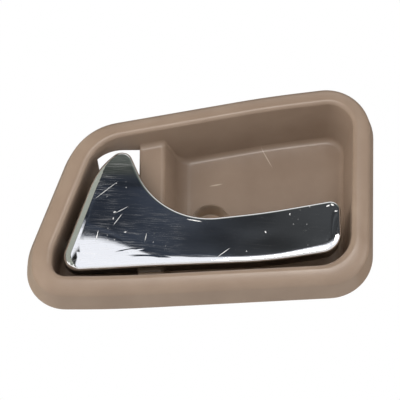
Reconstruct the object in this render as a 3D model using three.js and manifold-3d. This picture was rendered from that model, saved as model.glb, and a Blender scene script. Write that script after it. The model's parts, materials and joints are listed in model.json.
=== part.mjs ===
// Interior car door handle: a moulded bezel with a finger cup and a chromed pull lever.
// Millimetres. +X towards the lever's free end, +Z up, -Y towards the cabin, +Y into the door.
// The origin is the centre of the opening in the door trim; the rim's back edge lies on y = 0.
import * as THREE from 'three';
import { mergeVertices } from 'three/addons/utils/BufferGeometryUtils.js';
import Module from 'manifold-3d';

const wasm = await Module();
wasm.setup();

// ---------------------------------------------------------------- driving dimensions
const GAP = 0.3; // clearance between pieces that touch
const WALL = 2.4; // moulded wall thickness

const RIM_HEIGHT = 14; // rim crest above the door trim
const MOUTH_INSET = 11.4; // trim edge to the inner edge of the rim
const RIM_SPREAD = { bottom: 1, right: 0.94, top: 1, left: 1.06 }; // width of the rim on each side
const MOUTH_Y = -11.6; // where the rim's inner fillet ends and the cup wall starts
const WINDOW_WALL = { y: 0.8, lean: 0.3 }; // back edge of the wall at the plateau, shallower leftwards
const WINDOW_SILL = 8; // height above which the space behind the lever's fin is an open window
const WINDOW_MARGIN = 5.2; // the window's cut stays this far inside the rim's outline
const WINDOW_LEFT = { x: -42.2, lean: -0.36 }; // left edge at the sill, and how far it leans per mm up
const POCKET_Y = 10; // floor of the pocket below the sill, which the fin swings back into
const DRAFT = { bottom: 0.063, right: 0.053, top: 0.155, left: 0.075 }; // cup wall lean, mm per mm

const PLATEAU_LEFT = -27.7; // edge of the window behind the lever's fin
const PLATEAU_Y = -2.2;
const RAMP_TOP = -16.3; // where the plateau turns down into the cup
const RAMP_ANGLE = THREE.MathUtils.degToRad(20); // ramp against the cup's axis
const CUP_FLOOR_Y = 17;
const FOOT_RADIUS = 9;

const WELL = { x: 5, z: -1.8, r: 8.9, floor: 28.6 }; // recess for the fixing screw's head
const BOSS = { r: 11.6, back: 31, hole: 4.3 };

const PIVOT = { x: -40, y: -3 }; // lever hinge axis, parallel to Z
const PIN_RADIUS = 2;
const LUG = { r: 4.6, upper: [1.5, 5], lower: [-29, -25.5] };
const EAR = { r: 5.5, bore: 3.5, upper: [-2.5, 0.3], lower: [-24.3, -21.5] };
const CRANK = { z: [-20, -16.5], end: [-54, 19], r: 4.2, bore: 2.3 };
const LEVER_TRAVEL = THREE.MathUtils.degToRad(32); // until the crank meets the stop bumper
const REST = { x: -22.2, z: -20, head: 3.2, neck: 1.6 }; // bumper under the closed lever
const STOP = { y: 12, z: -18.25, head: 3, neck: 1.5, thick: 1.5 }; // bumper beside the crank
const SPRING = { mean: 4.2, wire: 0.6, bottom: -13.4, top: -4.8, from: -40, to: -1940 };

const FACE_Y = -12; // front of the chrome cover
const SKIRT_Y = -4; // back edge of the cover's skirt
const COVER = { side: 2, front: 2.2 };
const CARRIER = { front: -9.4, back: -5.5, inset: 2.4 };
const COVER_SCREWS = [[-51, -25], [-9, -21], [44, -18]];

// Outline of the rim where it meets the trim, anticlockwise seen from the cabin.
// Each corner has its fillet radius and names the side that starts there. Ease is the share of an
// inset that its radius loses; below 1 the rim grows wider round that corner.
const TRIM_CORNERS = [
  { x: -77.2, z: -49.4, r: 17.8, steps: 9, side: 'bottom' },
  { x: -38, z: -49.4, r: 600, steps: 2, side: 'bottom' },
  { x: 76.7, z: -43.2, r: 21, steps: 9, side: 'right', ease: 0.45 },
  { x: 81.3, z: 59.4, r: 22, steps: 9, side: 'top' },
  { x: 30, z: 52.6, r: 500, steps: 2, side: 'top' },
  { x: -56.2, z: 36.1, r: 30, steps: 9, side: 'left', ease: 0.8 },
  { x: -77.2, z: -24.1, r: 30, steps: 3, side: 'left' },
];

// Outline of the lever at its widest, anticlockwise: grip bar to the right, fin at the left.
const LEVER_CORNERS = [
  { x: -63.5, z: -35.2, r: 7, steps: 7 },
  { x: -20, z: -33.2, r: 400, steps: 2 },
  { x: 30, z: -31.1, r: 200, steps: 3 },
  { x: 62.9, z: -25.6, r: 10, steps: 7 },
  { x: 62.7, z: -1.3, r: 4.5, steps: 6 },
  { x: 30, z: -7.4, r: 300, steps: 2 },
  { x: -17.3, z: -13, r: 34, steps: 12 },
  { x: -33.7, z: 25.6, r: 5, steps: 8 },
  { x: -46.6, z: 12.7, r: 20, steps: 4 },
];

// ---------------------------------------------------------------- materials
const taupe = new THREE.MeshStandardMaterial({ color: 0x86715f, roughness: 0.5, metalness: 0 });
const chrome = new THREE.MeshStandardMaterial({ color: 0xd8dade, roughness: 0.08, metalness: 1 });
const nylon = new THREE.MeshStandardMaterial({ color: 0x1c1c1d, roughness: 0.6, metalness: 0 });
const natural = new THREE.MeshStandardMaterial({ color: 0xd9d4c6, roughness: 0.5, metalness: 0 });
const rubber = new THREE.MeshStandardMaterial({ color: 0x151515, roughness: 0.85, metalness: 0 });
const steel = new THREE.MeshStandardMaterial({ color: 0xa8abae, roughness: 0.3, metalness: 1 });
const springSteel = new THREE.MeshStandardMaterial({ color: 0x5c5d60, roughness: 0.4, metalness: 1 });
const foam = new THREE.MeshStandardMaterial({ color: 0x2c2d2f, roughness: 0.95, metalness: 0 });

// ---------------------------------------------------------------- solids
// Closed geometry to a solid, turned right side out if its profile ran the other way.
function toSolid(geometry) {
  geometry.deleteAttribute('normal');
  geometry.deleteAttribute('uv');
  const merged = mergeVertices(geometry, 1e-4);
  const vertProperties = new Float32Array(merged.attributes.position.array);
  const corners = merged.index.array;
  const solidOf = (triVerts) =>
    new wasm.Manifold(new wasm.Mesh({ numProp: 3, vertProperties, triVerts }));
  const solid = solidOf(new Uint32Array(corners));
  return solid.volume() > 0 ? solid : solidOf(new Uint32Array(corners).reverse());
}

function toMesh(name, solid, material) {
  const { vertProperties, triVerts } = solid.getMesh();
  const geometry = new THREE.BufferGeometry();
  geometry.setAttribute('position', new THREE.BufferAttribute(vertProperties, 3));
  geometry.setIndex(new THREE.BufferAttribute(triVerts, 1));
  geometry.computeVertexNormals();
  const mesh = new THREE.Mesh(geometry, material);
  mesh.name = name;
  return mesh;
}

const unite = (solids) => solids.reduce((whole, solid) => whole.add(solid));
const cut = (solid, tools) => tools.reduce((rest, tool) => rest.subtract(tool), solid);

function box([x0, x1], [y0, y1], [z0, z1]) {
  const geometry = new THREE.BoxGeometry(x1 - x0, y1 - y0, z1 - z0);
  return toSolid(geometry.translate((x0 + x1) / 2, (y0 + y1) / 2, (z0 + z1) / 2));
}

function rodY(x, z, radius, [y0, y1], sides = 24) {
  const geometry = new THREE.CylinderGeometry(radius, radius, y1 - y0, sides);
  return toSolid(geometry.translate(x, (y0 + y1) / 2, z));
}

function rodZ(x, y, radius, [z0, z1], sides = 24) {
  const geometry = new THREE.CylinderGeometry(radius, radius, z1 - z0, sides);
  return toSolid(geometry.rotateX(Math.PI / 2).translate(x, y, (z0 + z1) / 2));
}

// A lathe about the Z direction through (x, y); the profile is a list of [radius, z].
function turnedZ(x, y, profile, sides = 24) {
  const points = profile.map(([r, z]) => new THREE.Vector2(r, z));
  return toSolid(new THREE.LatheGeometry(points, sides).rotateX(Math.PI / 2).translate(x, y, 0));
}

// A lathe about the Y direction through (x, z); the profile is a list of [radius, y].
function turnedY(x, z, profile, sides = 24) {
  const points = profile.map(([r, y]) => new THREE.Vector2(r, y));
  return toSolid(new THREE.LatheGeometry(points, sides).translate(x, 0, z));
}

function prism(points, depth) {
  const shape = new THREE.Shape(points.map(([a, b]) => new THREE.Vector2(a, b)));
  return new THREE.ExtrudeGeometry(shape, { depth, bevelEnabled: false, steps: 1 });
}

const prismZ = (points, [z0, z1]) => toSolid(prism(points, z1 - z0).translate(0, 0, z0));
const prismY = (points, [y0, y1]) =>
  toSolid(prism(points, y1 - y0).rotateX(Math.PI / 2).translate(0, y1, 0));

function arc(cx, cy, radius, from, to, steps) {
  return Array.from({ length: steps + 1 }, (_, k) => {
    const angle = THREE.MathUtils.degToRad(from + ((to - from) * k) / steps);
    return [cx + radius * Math.cos(angle), cy + radius * Math.sin(angle)];
  });
}

// ---------------------------------------------------------------- outlines and lofts
// Filleted outline of a corner list, its sides moved inwards by insetOf(side name).
function outline(corners, insetOf) {
  const count = corners.length;
  const edges = corners.map((corner, i) => {
    const next = corners[(i + 1) % count];
    const length = Math.hypot(next.x - corner.x, next.z - corner.z);
    const inset = insetOf(corner.side);
    const [dx, dz] = [(next.x - corner.x) / length, (next.z - corner.z) / length];
    return { dx, dz, inset, x: corner.x - dz * inset, z: corner.z + dx * inset };
  });
  return corners.flatMap((corner, i) => {
    const before = edges[(i + count - 1) % count];
    const after = edges[i];
    const turn = Math.atan2(
      before.dx * after.dz - before.dz * after.dx,
      before.dx * after.dx + before.dz * after.dz,
    );
    const reach =
      ((after.x - before.x) * after.dz - (after.z - before.z) * after.dx) / Math.sin(turn);
    const [vx, vz] = [before.x + before.dx * reach, before.z + before.dz * reach];
    const side = Math.sign(turn);
    const inset = (before.inset + after.inset) / 2;
    const radius = Math.max(corner.r - side * inset * (corner.ease ?? 1), 0.4);
    const back = radius * Math.tan(Math.abs(turn) / 2);
    const [cx, cz] = [
      vx - before.dx * back - side * before.dz * radius,
      vz - before.dz * back + side * before.dx * radius,
    ];
    const start = Math.atan2(-side * before.dx, side * before.dz);
    return Array.from({ length: corner.steps + 1 }, (_, k) => {
      const angle = start + (turn * k) / corner.steps;
      return [cx + radius * Math.cos(angle), cz + radius * Math.sin(angle)];
    });
  });
}

// Stacks rings of equal length, each { points: [x, z], y }, running into the door or to the cabin.
// A closed stack joins its last ring to its first; an open one is capped at both ends.
function loft(rings, closed = false) {
  const count = rings[0].points.length;
  const positions = rings.flatMap(({ points, y }) => points.flatMap(([x, z]) => [x, y, z]));
  const index = [];
  const bands = closed ? rings.length : rings.length - 1;
  for (let band = 0; band < bands; band++) {
    const a = band * count;
    const b = ((band + 1) % rings.length) * count;
    for (let k = 0; k < count; k++) {
      const next = (k + 1) % count;
      index.push(a + k, b + k, b + next, a + k, b + next, a + next);
    }
  }
  if (!closed) {
    const cap = (points) =>
      THREE.ShapeUtils.triangulateShape(points.map(([x, z]) => new THREE.Vector2(x, z)), []);
    const last = (rings.length - 1) * count;
    cap(rings[0].points).forEach(([i, j, k]) => index.push(i, j, k));
    cap(rings.at(-1).points).forEach(([i, j, k]) => index.push(last + i, last + k, last + j));
  }
  const geometry = new THREE.BufferGeometry();
  geometry.setAttribute('position', new THREE.Float32BufferAttribute(positions, 3));
  geometry.setIndex(index);
  return toSolid(geometry);
}

const trimRing = (inset, y) => ({
  y,
  points: outline(TRIM_CORNERS, (side) => inset * RIM_SPREAD[side]),
});
const wallInset = (side, y) => MOUTH_INSET * RIM_SPREAD[side] + (y - MOUTH_Y) * DRAFT[side];
const wallRing = (offset, y) => ({
  y,
  points: outline(TRIM_CORNERS, (side) => wallInset(side, y) - offset),
});
const leverRing = (inset, y) => ({ y, points: outline(LEVER_CORNERS, () => inset) });

// A plate across the rim: a section of [inset, y] points, extruded along the rim's edge.
function rimSection(corner, distance, section, thickness) {
  const from = TRIM_CORNERS[corner];
  const to = TRIM_CORNERS[(corner + 1) % TRIM_CORNERS.length];
  const along = new THREE.Vector3(to.x - from.x, 0, to.z - from.z).normalize();
  const inward = new THREE.Vector3(-along.z, 0, along.x);
  const frame = new THREE.Matrix4().makeBasis(
    inward,
    new THREE.Vector3(0, 1, 0),
    along.clone().negate(),
  );
  frame.setPosition(from.x + along.x * distance, 0, from.z + along.z * distance);
  const plate = prism(section, thickness).translate(0, 0, -thickness / 2);
  return toSolid(plate.applyMatrix4(frame));
}

// ---------------------------------------------------------------- bezel
const TAB_SPOTS = [[0, 24], [1, 84], [3, 30], [4, 58]]; // corner index, distance along that edge
const TAB = { inset: 6.2, thick: 1.6, width: 9, back: 9 };
const RIB_SPOTS = [
  [0, 34], [1, 12], [1, 36], [1, 60], [1, 98], [2, 30], [2, 52], [2, 74],
  [4, 12], [4, 36], [3, 44], [5, 30], [5, 50],
];

function rimShell() {
  const back = CUP_FLOOR_Y + WALL + 6;
  return loft(
    [
      trimRing(0, 0),
      trimRing(2.7, -9.6),
      trimRing(3.6, -11.7),
      trimRing(5, -12.9),
      trimRing(7, -13.6),
      trimRing(9.4, -RIM_HEIGHT),
      trimRing(10.5, -13.7),
      trimRing(11.2, -12.9),
      wallRing(0, MOUTH_Y),
      wallRing(0, back),
      wallRing(WALL, back),
      wallRing(WALL, -9.6),
      trimRing(7.8, -11.3),
      trimRing(5.8, -10.8),
      trimRing(4.9, -9.4),
      trimRing(WALL, 0),
    ],
    true,
  );
}

// Front surface of plateau, ramp and cup floor in plan, as [x, y] points.
function floorLine() {
  const run = (CUP_FLOOR_Y - PLATEAU_Y) * Math.tan(RAMP_ANGLE);
  const foot = RAMP_TOP + run;
  const reach = FOOT_RADIUS * Math.tan((Math.PI / 2 - RAMP_ANGLE) / 2);
  const centre = [foot + reach, CUP_FLOOR_Y - FOOT_RADIUS];
  const head = 1.6;
  return [
    [PLATEAU_LEFT, PLATEAU_Y],
    [RAMP_TOP - head, PLATEAU_Y],
    [RAMP_TOP - head * 0.2, PLATEAU_Y + head * 0.35],
    [RAMP_TOP + head * 0.45, PLATEAU_Y + head * 0.92],
    ...arc(...centre, FOOT_RADIUS, 180 - THREE.MathUtils.radToDeg(RAMP_ANGLE), 90, 5),
  ];
}

// Back surface of the same moulding, a wall thickness behind the front.
function backLine() {
  const lean = Math.tan(RAMP_ANGLE);
  const head = RAMP_TOP - WALL / Math.cos(RAMP_ANGLE) + WALL * lean;
  return [
    [-100, POCKET_Y + WALL],
    [PLATEAU_LEFT + WALL, POCKET_Y + WALL],
    [PLATEAU_LEFT + WALL, PLATEAU_Y + WALL],
    [head, PLATEAU_Y + WALL],
    [head + (CUP_FLOOR_Y - PLATEAU_Y) * lean, CUP_FLOOR_Y + WALL],
    [100, CUP_FLOOR_Y + WALL],
  ];
}

// Lug for the hinge pin, standing on the pocket floor and braced by the wall beside it.
function pivotLug([z0, z1]) {
  const root = PLATEAU_LEFT + 0.6;
  const arm = [
    ...arc(PIVOT.x, PIVOT.y, LUG.r, 180, 305, 9),
    [root, 0.4],
    [root, POCKET_Y + 0.6],
    [PIVOT.x - LUG.r, POCKET_Y + 0.6],
  ];
  return prismZ(arm, [z0, z1]);
}

// Everything inside the cup wall's mid surface, to trim floors so that they end in the walls.
const insideWalls = () => loft([wallRing(WALL / 2, 40), wallRing(WALL / 2, -6)]);

function cupFloor() {
  const section = [...floorLine(), [90, CUP_FLOOR_Y], [90, 25], [PLATEAU_LEFT, 25]];
  return prismZ(section, [-60, 70]).intersect(insideWalls());
}

const windowLeftAt = (z) => WINDOW_LEFT.x + WINDOW_LEFT.lean * (z - WINDOW_SILL);

function pocketFloor() {
  const plate = prismY([
    [-90, -60], [PLATEAU_LEFT + 1, -60], [PLATEAU_LEFT + 1, WINDOW_SILL],
    [WINDOW_LEFT.x, WINDOW_SILL], [windowLeftAt(40), 40], [-90, 40],
  ], [POCKET_Y, 25]);
  return plate.intersect(insideWalls());
}

function bezel() {
  const opening = [
    [WINDOW_LEFT.x, WINDOW_SILL], [PLATEAU_LEFT, WINDOW_SILL],
    [PLATEAU_LEFT, 80], [windowLeftAt(80), 80],
  ];
  const { y, lean } = WINDOW_WALL;
  const farLeft = -70;
  const leftEdge = y - lean * (PLATEAU_LEFT - farLeft);
  const behindWall = [[PLATEAU_LEFT, y], [PLATEAU_LEFT, 60], [farLeft, 60], [farLeft, leftEdge]];
  const insideRim = prismY(outline(TRIM_CORNERS, () => WINDOW_MARGIN), [-20, 60]);
  const window = prismY(opening, [-10, 60]).intersect(prismZ(behindWall, [0, 90])).intersect(insideRim);
  const behind = prismZ([...backLine(), [100, 60], [-100, 60]], [-80, 80]);
  const shell = cut(unite([rimShell(), cupFloor(), pocketFloor()]), [behind, window]);

  const web = box([PLATEAU_LEFT, PLATEAU_LEFT + WALL], [PLATEAU_Y + 0.5, 20], [-36.5, 12]);
  const gusset = [[-27, PLATEAU_Y + 1.4], [-18, PLATEAU_Y + 1.4], [-10.6, 17.6], [-27, 17.6]];
  const gussets = [[-31, -29], [8, 10]].map((span) => prismZ(gusset, span));
  const boss = rodY(WELL.x, WELL.z, BOSS.r, [18, BOSS.back], 36);
  const fins = [
    box([-10.5, 20.5], [18.6, 26], [-3, -1]),
    box([4, 6], [18.6, 26], [-17.5, 14]),
  ];
  const lugs = [pivotLug(LUG.upper), pivotLug(LUG.lower)];

  const ribShape = [[1.4, -1.5], [3.8, -10.6], [9.6, -10.6], [9.6, -1.5]];
  const ribs = RIB_SPOTS.map(([corner, distance]) => rimSection(corner, distance, ribShape, 1.4));
  const [near, far] = [TAB.inset - TAB.thick / 2, TAB.inset + TAB.thick / 2];
  const tabShape = [[near, TAB.back], [near, -12], [far, -12], [far, TAB.back]];
  const tabs = TAB_SPOTS.map(([corner, distance]) => rimSection(corner, distance, tabShape, TAB.width));

  const crankSlot = [CRANK.z[0] - 1.9, CRANK.z[1] + 1.9];
  return cut(unite([shell, web, ...gussets, boss, ...fins, ...lugs, ...ribs, ...tabs]), [
    rodY(WELL.x, WELL.z, WELL.r, [CUP_FLOOR_Y - 4, WELL.floor], 40),
    rodY(WELL.x, WELL.z, BOSS.hole, [WELL.floor - 1, BOSS.back + 1], 24),
    rodZ(PIVOT.x, PIVOT.y, PIN_RADIUS + GAP, [-33, 10], 20),
    rodY(REST.x, REST.z, REST.neck + GAP, [PLATEAU_Y - 2, 6], 16),
    stopRod(STOP.neck + GAP, [PLATEAU_LEFT - 2, PLATEAU_LEFT + 6]),
    box([PLATEAU_LEFT - 1, PLATEAU_LEFT + 4], [PLATEAU_Y + WALL, 3], [-15.2, -12.2]),
    box([-60.5, PLATEAU_LEFT], [POCKET_Y - 1, POCKET_Y + WALL + 1], crankSlot),
  ]);
}

// ---------------------------------------------------------------- lever
function leverCover() {
  const shell = loft([
    leverRing(0, SKIRT_Y),
    leverRing(0, FACE_Y + 1.9),
    leverRing(0.45, FACE_Y + 0.75),
    leverRing(1.7, FACE_Y),
  ]);
  const pocket = loft([leverRing(COVER.side, SKIRT_Y + 1), leverRing(COVER.side, FACE_Y + COVER.front)]);
  const bosses = COVER_SCREWS.map(([x, z]) => rodY(x, z, 2.6, [FACE_Y + 1.6, -6.2], 16));
  const holes = COVER_SCREWS.map(([x, z]) => rodY(x, z, 1.6, [FACE_Y + 3.4, -6], 16));
  return cut(shell.subtract(pocket).add(unite(bosses)), holes);
}

// Edge of the crank that lies flat on the stop bumper when the lever is fully open.
function stopFace() {
  const away = PLATEAU_LEFT - GAP - STOP.thick - PIVOT.x - 0.1;
  const [c, s] = [Math.cos(LEVER_TRAVEL), Math.sin(LEVER_TRAVEL)];
  return [STOP.y - STOP.head, STOP.y + STOP.head]
    .map((y) => y - PIVOT.y)
    .map((along) => [PIVOT.x + away * c - along * s, PIVOT.y + away * s + along * c]);
}

function leverCarrier() {
  const plate = loft([
    leverRing(CARRIER.inset, CARRIER.back),
    leverRing(CARRIER.inset, CARRIER.front),
  ]);
  const screwHoles = COVER_SCREWS.map(([x, z]) => rodY(x, z, 2.9, [-12, -3], 16));
  const groove = rodZ(PIVOT.x, PIVOT.y, 5.6, [-32.4, 9], 28);
  const grooved = cut(plate, [...screwHoles, groove]);

  const ear = (span) =>
    rodZ(PIVOT.x, PIVOT.y, EAR.r, span)
      .add(box([PIVOT.x - EAR.r, PIVOT.x + EAR.r], [CARRIER.front + 0.2, PIVOT.y], span));
  const [endX, endY] = CRANK.end;
  const crankShape = [
    ...arc(PIVOT.x, PIVOT.y, EAR.r, -150, 0, 8),
    ...stopFace(),
    ...arc(endX, endY, CRANK.r, 60, 200, 8),
  ];
  const crank = prismZ(crankShape, CRANK.z)
    .add(box([PIVOT.x - EAR.r, PIVOT.x + EAR.r], [CARRIER.front + 0.2, PIVOT.y], CRANK.z));
  const solid = unite([grooved, ear(EAR.upper), ear(EAR.lower), crank]);
  return cut(solid, [
    rodZ(PIVOT.x, PIVOT.y, EAR.bore, [EAR.upper[0] - 0.5, 9], 20),
    rodZ(PIVOT.x, PIVOT.y, EAR.bore, [-30, EAR.lower[1] + 0.5], 20),
    rodZ(PIVOT.x, PIVOT.y, PIN_RADIUS + 0.6, [-22, -2], 20),
    rodZ(endX, endY, CRANK.bore, [CRANK.z[0] - 1, CRANK.z[1] + 1], 18),
  ]);
}

function coverScrew(x, z) {
  const seat = CARRIER.back + GAP;
  return turnedY(x, z, [
    [0, -8.3], [1.25, -8.3], [1.25, seat], [3.6, seat], [3.6, seat + 1],
    [3, seat + 1.7], [1.4, seat + 1.7], [1.4, seat + 0.9], [0, seat + 0.9],
  ], 18);
}

// ---------------------------------------------------------------- pivot
function pivotPin() {
  return turnedZ(PIVOT.x, PIVOT.y, [
    [0, 6.9], [2.6, 6.9], [3.3, 6.4], [3.3, LUG.upper[1] + GAP], [PIN_RADIUS, LUG.upper[1] + GAP],
    [PIN_RADIUS, -31.4], [1.5, -32], [0, -32],
  ]);
}

function pinRetainer() {
  const top = LUG.lower[0] - GAP;
  const inner = PIN_RADIUS + GAP;
  return turnedZ(PIVOT.x, PIVOT.y, [
    [inner, top - 1.3], [4, top - 0.8], [4, top], [inner, top - 0.5], [inner, top - 1.3],
  ], 20);
}

// Flanged bush: the sleeve fills the ear, the flange runs against the lug.
function bush([z0, z1], flangeUp) {
  const [inner, outer, flange] = [PIN_RADIUS + GAP, EAR.bore - GAP, 4.6];
  const profile = flangeUp
    ? [[inner, z0], [outer, z0], [outer, z1 + GAP], [flange, z1 + GAP],
      [flange, z1 + 0.9], [inner, z1 + 0.9]]
    : [[inner, z0 - 0.9], [flange, z0 - 0.9], [flange, z0 - GAP],
      [outer, z0 - GAP], [outer, z1], [inner, z1]];
  return turnedZ(PIVOT.x, PIVOT.y, [...profile, profile[0]], 20);
}

// Torsion spring: one leg bears behind the plateau, the other on the back of the lever's fin.
// It winds tighter as the lever opens.
function returnSpring() {
  const { mean, wire, bottom, top, from, to } = SPRING;
  const steps = Math.round((from - to) / 25);
  const coil = arc(PIVOT.x, PIVOT.y, mean, from, to, steps)
    .map(([x, y], k) => new THREE.Vector3(x, y, bottom + ((top - bottom) * k) / steps));
  const fixedLeg = [[-23.4, 1.3], [-27, 1.3], [-30, 0.8], [-34, -2.2]]
    .map(([x, y]) => new THREE.Vector3(x, y, bottom));
  const movingLeg = [[-45.4, -4.1], [-47.2, -4.5], [-49.6, -4.5]]
    .map(([x, y]) => new THREE.Vector3(x, y, top));
  const path = new THREE.CatmullRomCurve3([...fixedLeg, ...coil, ...movingLeg]);
  const section = new THREE.Shape(
    arc(0, 0, wire, 0, 300, 5).map(([a, b]) => new THREE.Vector2(a, b)),
  );
  const wire3d = { steps: steps + 16, extrudePath: path, bevelEnabled: false };
  return toSolid(new THREE.ExtrudeGeometry(section, wire3d));
}

// ---------------------------------------------------------------- bumpers, clips, sleeve, pads
function restBumper() {
  const front = CARRIER.back + GAP;
  const seat = PLATEAU_Y - GAP;
  const hook = PLATEAU_Y + WALL + GAP;
  return turnedY(REST.x, REST.z, [
    [0, front], [2, front + 0.3], [REST.head, front + 1.4], [REST.head, seat], [REST.neck, seat],
    [REST.neck, hook], [REST.neck + 1, hook], [0.9, hook + 2], [0, hook + 2],
  ], 20);
}

function stopRod(radius, [x0, x1]) {
  const geometry = new THREE.CylinderGeometry(radius, radius, x1 - x0, 16);
  return toSolid(geometry.rotateZ(Math.PI / 2).translate((x0 + x1) / 2, STOP.y, STOP.z));
}

function stopBumper() {
  const seat = PLATEAU_LEFT - GAP;
  const hook = PLATEAU_LEFT + WALL + GAP;
  return unite([
    stopRod(STOP.head, [seat - STOP.thick, seat]),
    stopRod(STOP.neck, [seat - 0.5, hook + 1.6]),
    stopRod(STOP.neck + 0.9, [hook, hook + 1.2]),
  ]);
}

// Swivelling clip on the crank's end: a pin through the crank, and a snap saddle for a 4 mm rod.
function rodClip() {
  const [x, y] = CRANK.end;
  const under = CRANK.z[0] - GAP;
  const over = CRANK.z[1] + GAP;
  const pin = rodZ(x, y, CRANK.bore - GAP, [under - 1, over + 1], 18);
  const head = rodZ(x, y, 3.1, [over, over + 1.1], 18);
  const saddle = prismZ([
    [x - 4.2, y - 3.6], [x + 4.2, y - 3.6], [x + 4.2, y + 3.6], [x - 4.2, y + 3.6],
  ], [under - 6.6, under]);
  const channel = new THREE.CylinderGeometry(2.1, 2.1, 12, 16);
  const bore = toSolid(channel.rotateZ(Math.PI / 2).translate(x, y, under - 4));
  const mouth = box([x - 6, x + 6], [y - 1.5, y + 1.5], [under - 8, under - 4]);
  return unite([pin, head, saddle]).subtract(bore).subtract(mouth);
}

function screwSleeve() {
  const top = WELL.floor - GAP;
  return turnedY(WELL.x, WELL.z, [
    [2.8, top - 1.2], [6.6, top - 1.2], [6.6, top], [BOSS.hole - GAP, top],
    [BOSS.hole - GAP, BOSS.back], [2.8, BOSS.back], [2.8, top - 1.2],
  ], 28);
}

// U clip pushed onto a tab, with two tongues that grip the edge of the trim.
function trimClip(corner, distance) {
  const half = TAB.thick / 2 + GAP;
  const skin = 0.6;
  const [inner, outer] = [half, half + skin];
  const back = TAB.back + GAP;
  const leg = [
    [inner, 1], [inner, back], [-inner, back], [-inner, 1], [-outer, 1],
    [-outer - 1.5, 3.4], [-outer - 1.5, 4.3], [-outer, 6.4], [-outer, back + skin],
    [outer, back + skin], [outer, 6.4], [outer + 1.5, 4.3], [outer + 1.5, 3.4], [outer, 1],
  ].map(([across, y]) => [TAB.inset + across, y]);
  return rimSection(corner, distance, leg, TAB.width - 1.4);
}

function foamPad([x0, x1], [z0, z1]) {
  const r = 2;
  const corners = [
    { x: x0, z: z0, r, steps: 3 }, { x: x1, z: z0, r, steps: 3 },
    { x: x1, z: z1, r, steps: 3 }, { x: x0, z: z1, r, steps: 3 },
  ];
  const y = CUP_FLOOR_Y + WALL + GAP;
  return prismY(outline(corners, () => 0), [y, y + 3]);
}

// ---------------------------------------------------------------- assembly
const handle = new THREE.Group();
const add = (name, solid, material) => handle.add(toMesh(name, solid, material));

add('bezel_housing', bezel(), taupe);
add('lever_cover', leverCover(), chrome);
add('lever_carrier', leverCarrier(), nylon);
add('pivot_pin', pivotPin(), steel);
add('pin_retainer', pinRetainer(), springSteel);
add('upper_bush', bush(EAR.upper, true), natural);
add('lower_bush', bush(EAR.lower, false), natural);
add('return_spring', returnSpring(), springSteel);
add('rest_bumper', restBumper(), rubber);
add('stop_bumper', stopBumper(), rubber);
add('rod_clip', rodClip(), natural);
add('screw_sleeve', screwSleeve(), steel);
TAB_SPOTS.forEach(([corner, distance], i) => {
  add(`trim_clip_${i + 1}`, trimClip(corner, distance), springSteel);
});
add('foam_pad_1', foamPad([26, 58], [20, 30]), foam);
add('foam_pad_2', foamPad([24, 56], [-28, -18]), foam);
COVER_SCREWS.forEach(([x, z], i) => add(`cover_screw_${i + 1}`, coverScrew(x, z), steel));

export default handle;
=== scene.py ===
"""Interior car door handle: looks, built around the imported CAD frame.

Shapes are written in millimetres and turned into metres when their meshes are made. Axes are the
frame's own: +X towards the lever's free end, +Z up, -Y towards the cabin.
"""

import json
import math

import bmesh
import bpy
import numpy as np
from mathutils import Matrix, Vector, geometry, noise


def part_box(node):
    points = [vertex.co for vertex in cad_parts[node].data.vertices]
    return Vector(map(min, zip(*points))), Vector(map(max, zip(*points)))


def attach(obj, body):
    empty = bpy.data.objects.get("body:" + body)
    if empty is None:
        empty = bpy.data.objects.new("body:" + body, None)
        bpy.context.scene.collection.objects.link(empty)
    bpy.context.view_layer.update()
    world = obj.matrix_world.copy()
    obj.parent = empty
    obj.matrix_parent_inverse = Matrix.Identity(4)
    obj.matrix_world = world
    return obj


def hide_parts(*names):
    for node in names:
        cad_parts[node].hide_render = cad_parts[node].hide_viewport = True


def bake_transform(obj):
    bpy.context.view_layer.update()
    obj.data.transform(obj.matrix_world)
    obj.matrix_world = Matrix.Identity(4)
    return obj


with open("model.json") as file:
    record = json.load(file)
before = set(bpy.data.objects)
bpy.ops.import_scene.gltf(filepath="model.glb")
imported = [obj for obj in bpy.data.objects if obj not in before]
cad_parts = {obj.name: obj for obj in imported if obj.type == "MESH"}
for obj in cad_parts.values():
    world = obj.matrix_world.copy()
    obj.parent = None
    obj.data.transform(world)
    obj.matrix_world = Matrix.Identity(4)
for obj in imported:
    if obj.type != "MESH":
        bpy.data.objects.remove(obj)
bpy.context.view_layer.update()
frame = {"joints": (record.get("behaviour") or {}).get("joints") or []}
joints = {joint["name"]: joint for joint in frame["joints"]}

MM = 0.001


def node_box(node):
    """Lowest and highest corner of a CAD node, in millimetres."""
    low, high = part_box(node)
    return low / MM, high / MM


# ------------------------------------------------------------------ driving dimensions, millimetres
WALL = 2.4
GAP = 0.3
MOUTH_INSET = 11.4
MOUTH_Y = -11.6
RIM_SPREAD = {"bottom": 1.0, "right": 0.94, "top": 1.0, "left": 1.06}
DRAFT = {"bottom": 0.063, "right": 0.053, "top": 0.155, "left": 0.075}
FLOOR_FILLET = 3.0

PLATEAU_LEFT = -27.7
PLATEAU_Y = -2.2
RAMP_TOP = -16.3
RAMP_ANGLE = math.radians(20)
FOOT_RADIUS = 9.0
CUP_FLOOR_Y = 17.0
POCKET_Y = 10.0
WINDOW_SILL = 8.0
WINDOW_LEFT = {"x": -42.2, "lean": -0.36}
WINDOW_MARGIN = 5.2
WINDOW_WALL = {"y": 0.8, "lean": 0.3}
WELL = {"x": 5.0, "z": -1.8, "r": 8.9, "floor": 28.6}
BOSS = {"r": 11.6, "back": 31.0, "hole": 4.3}

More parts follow.
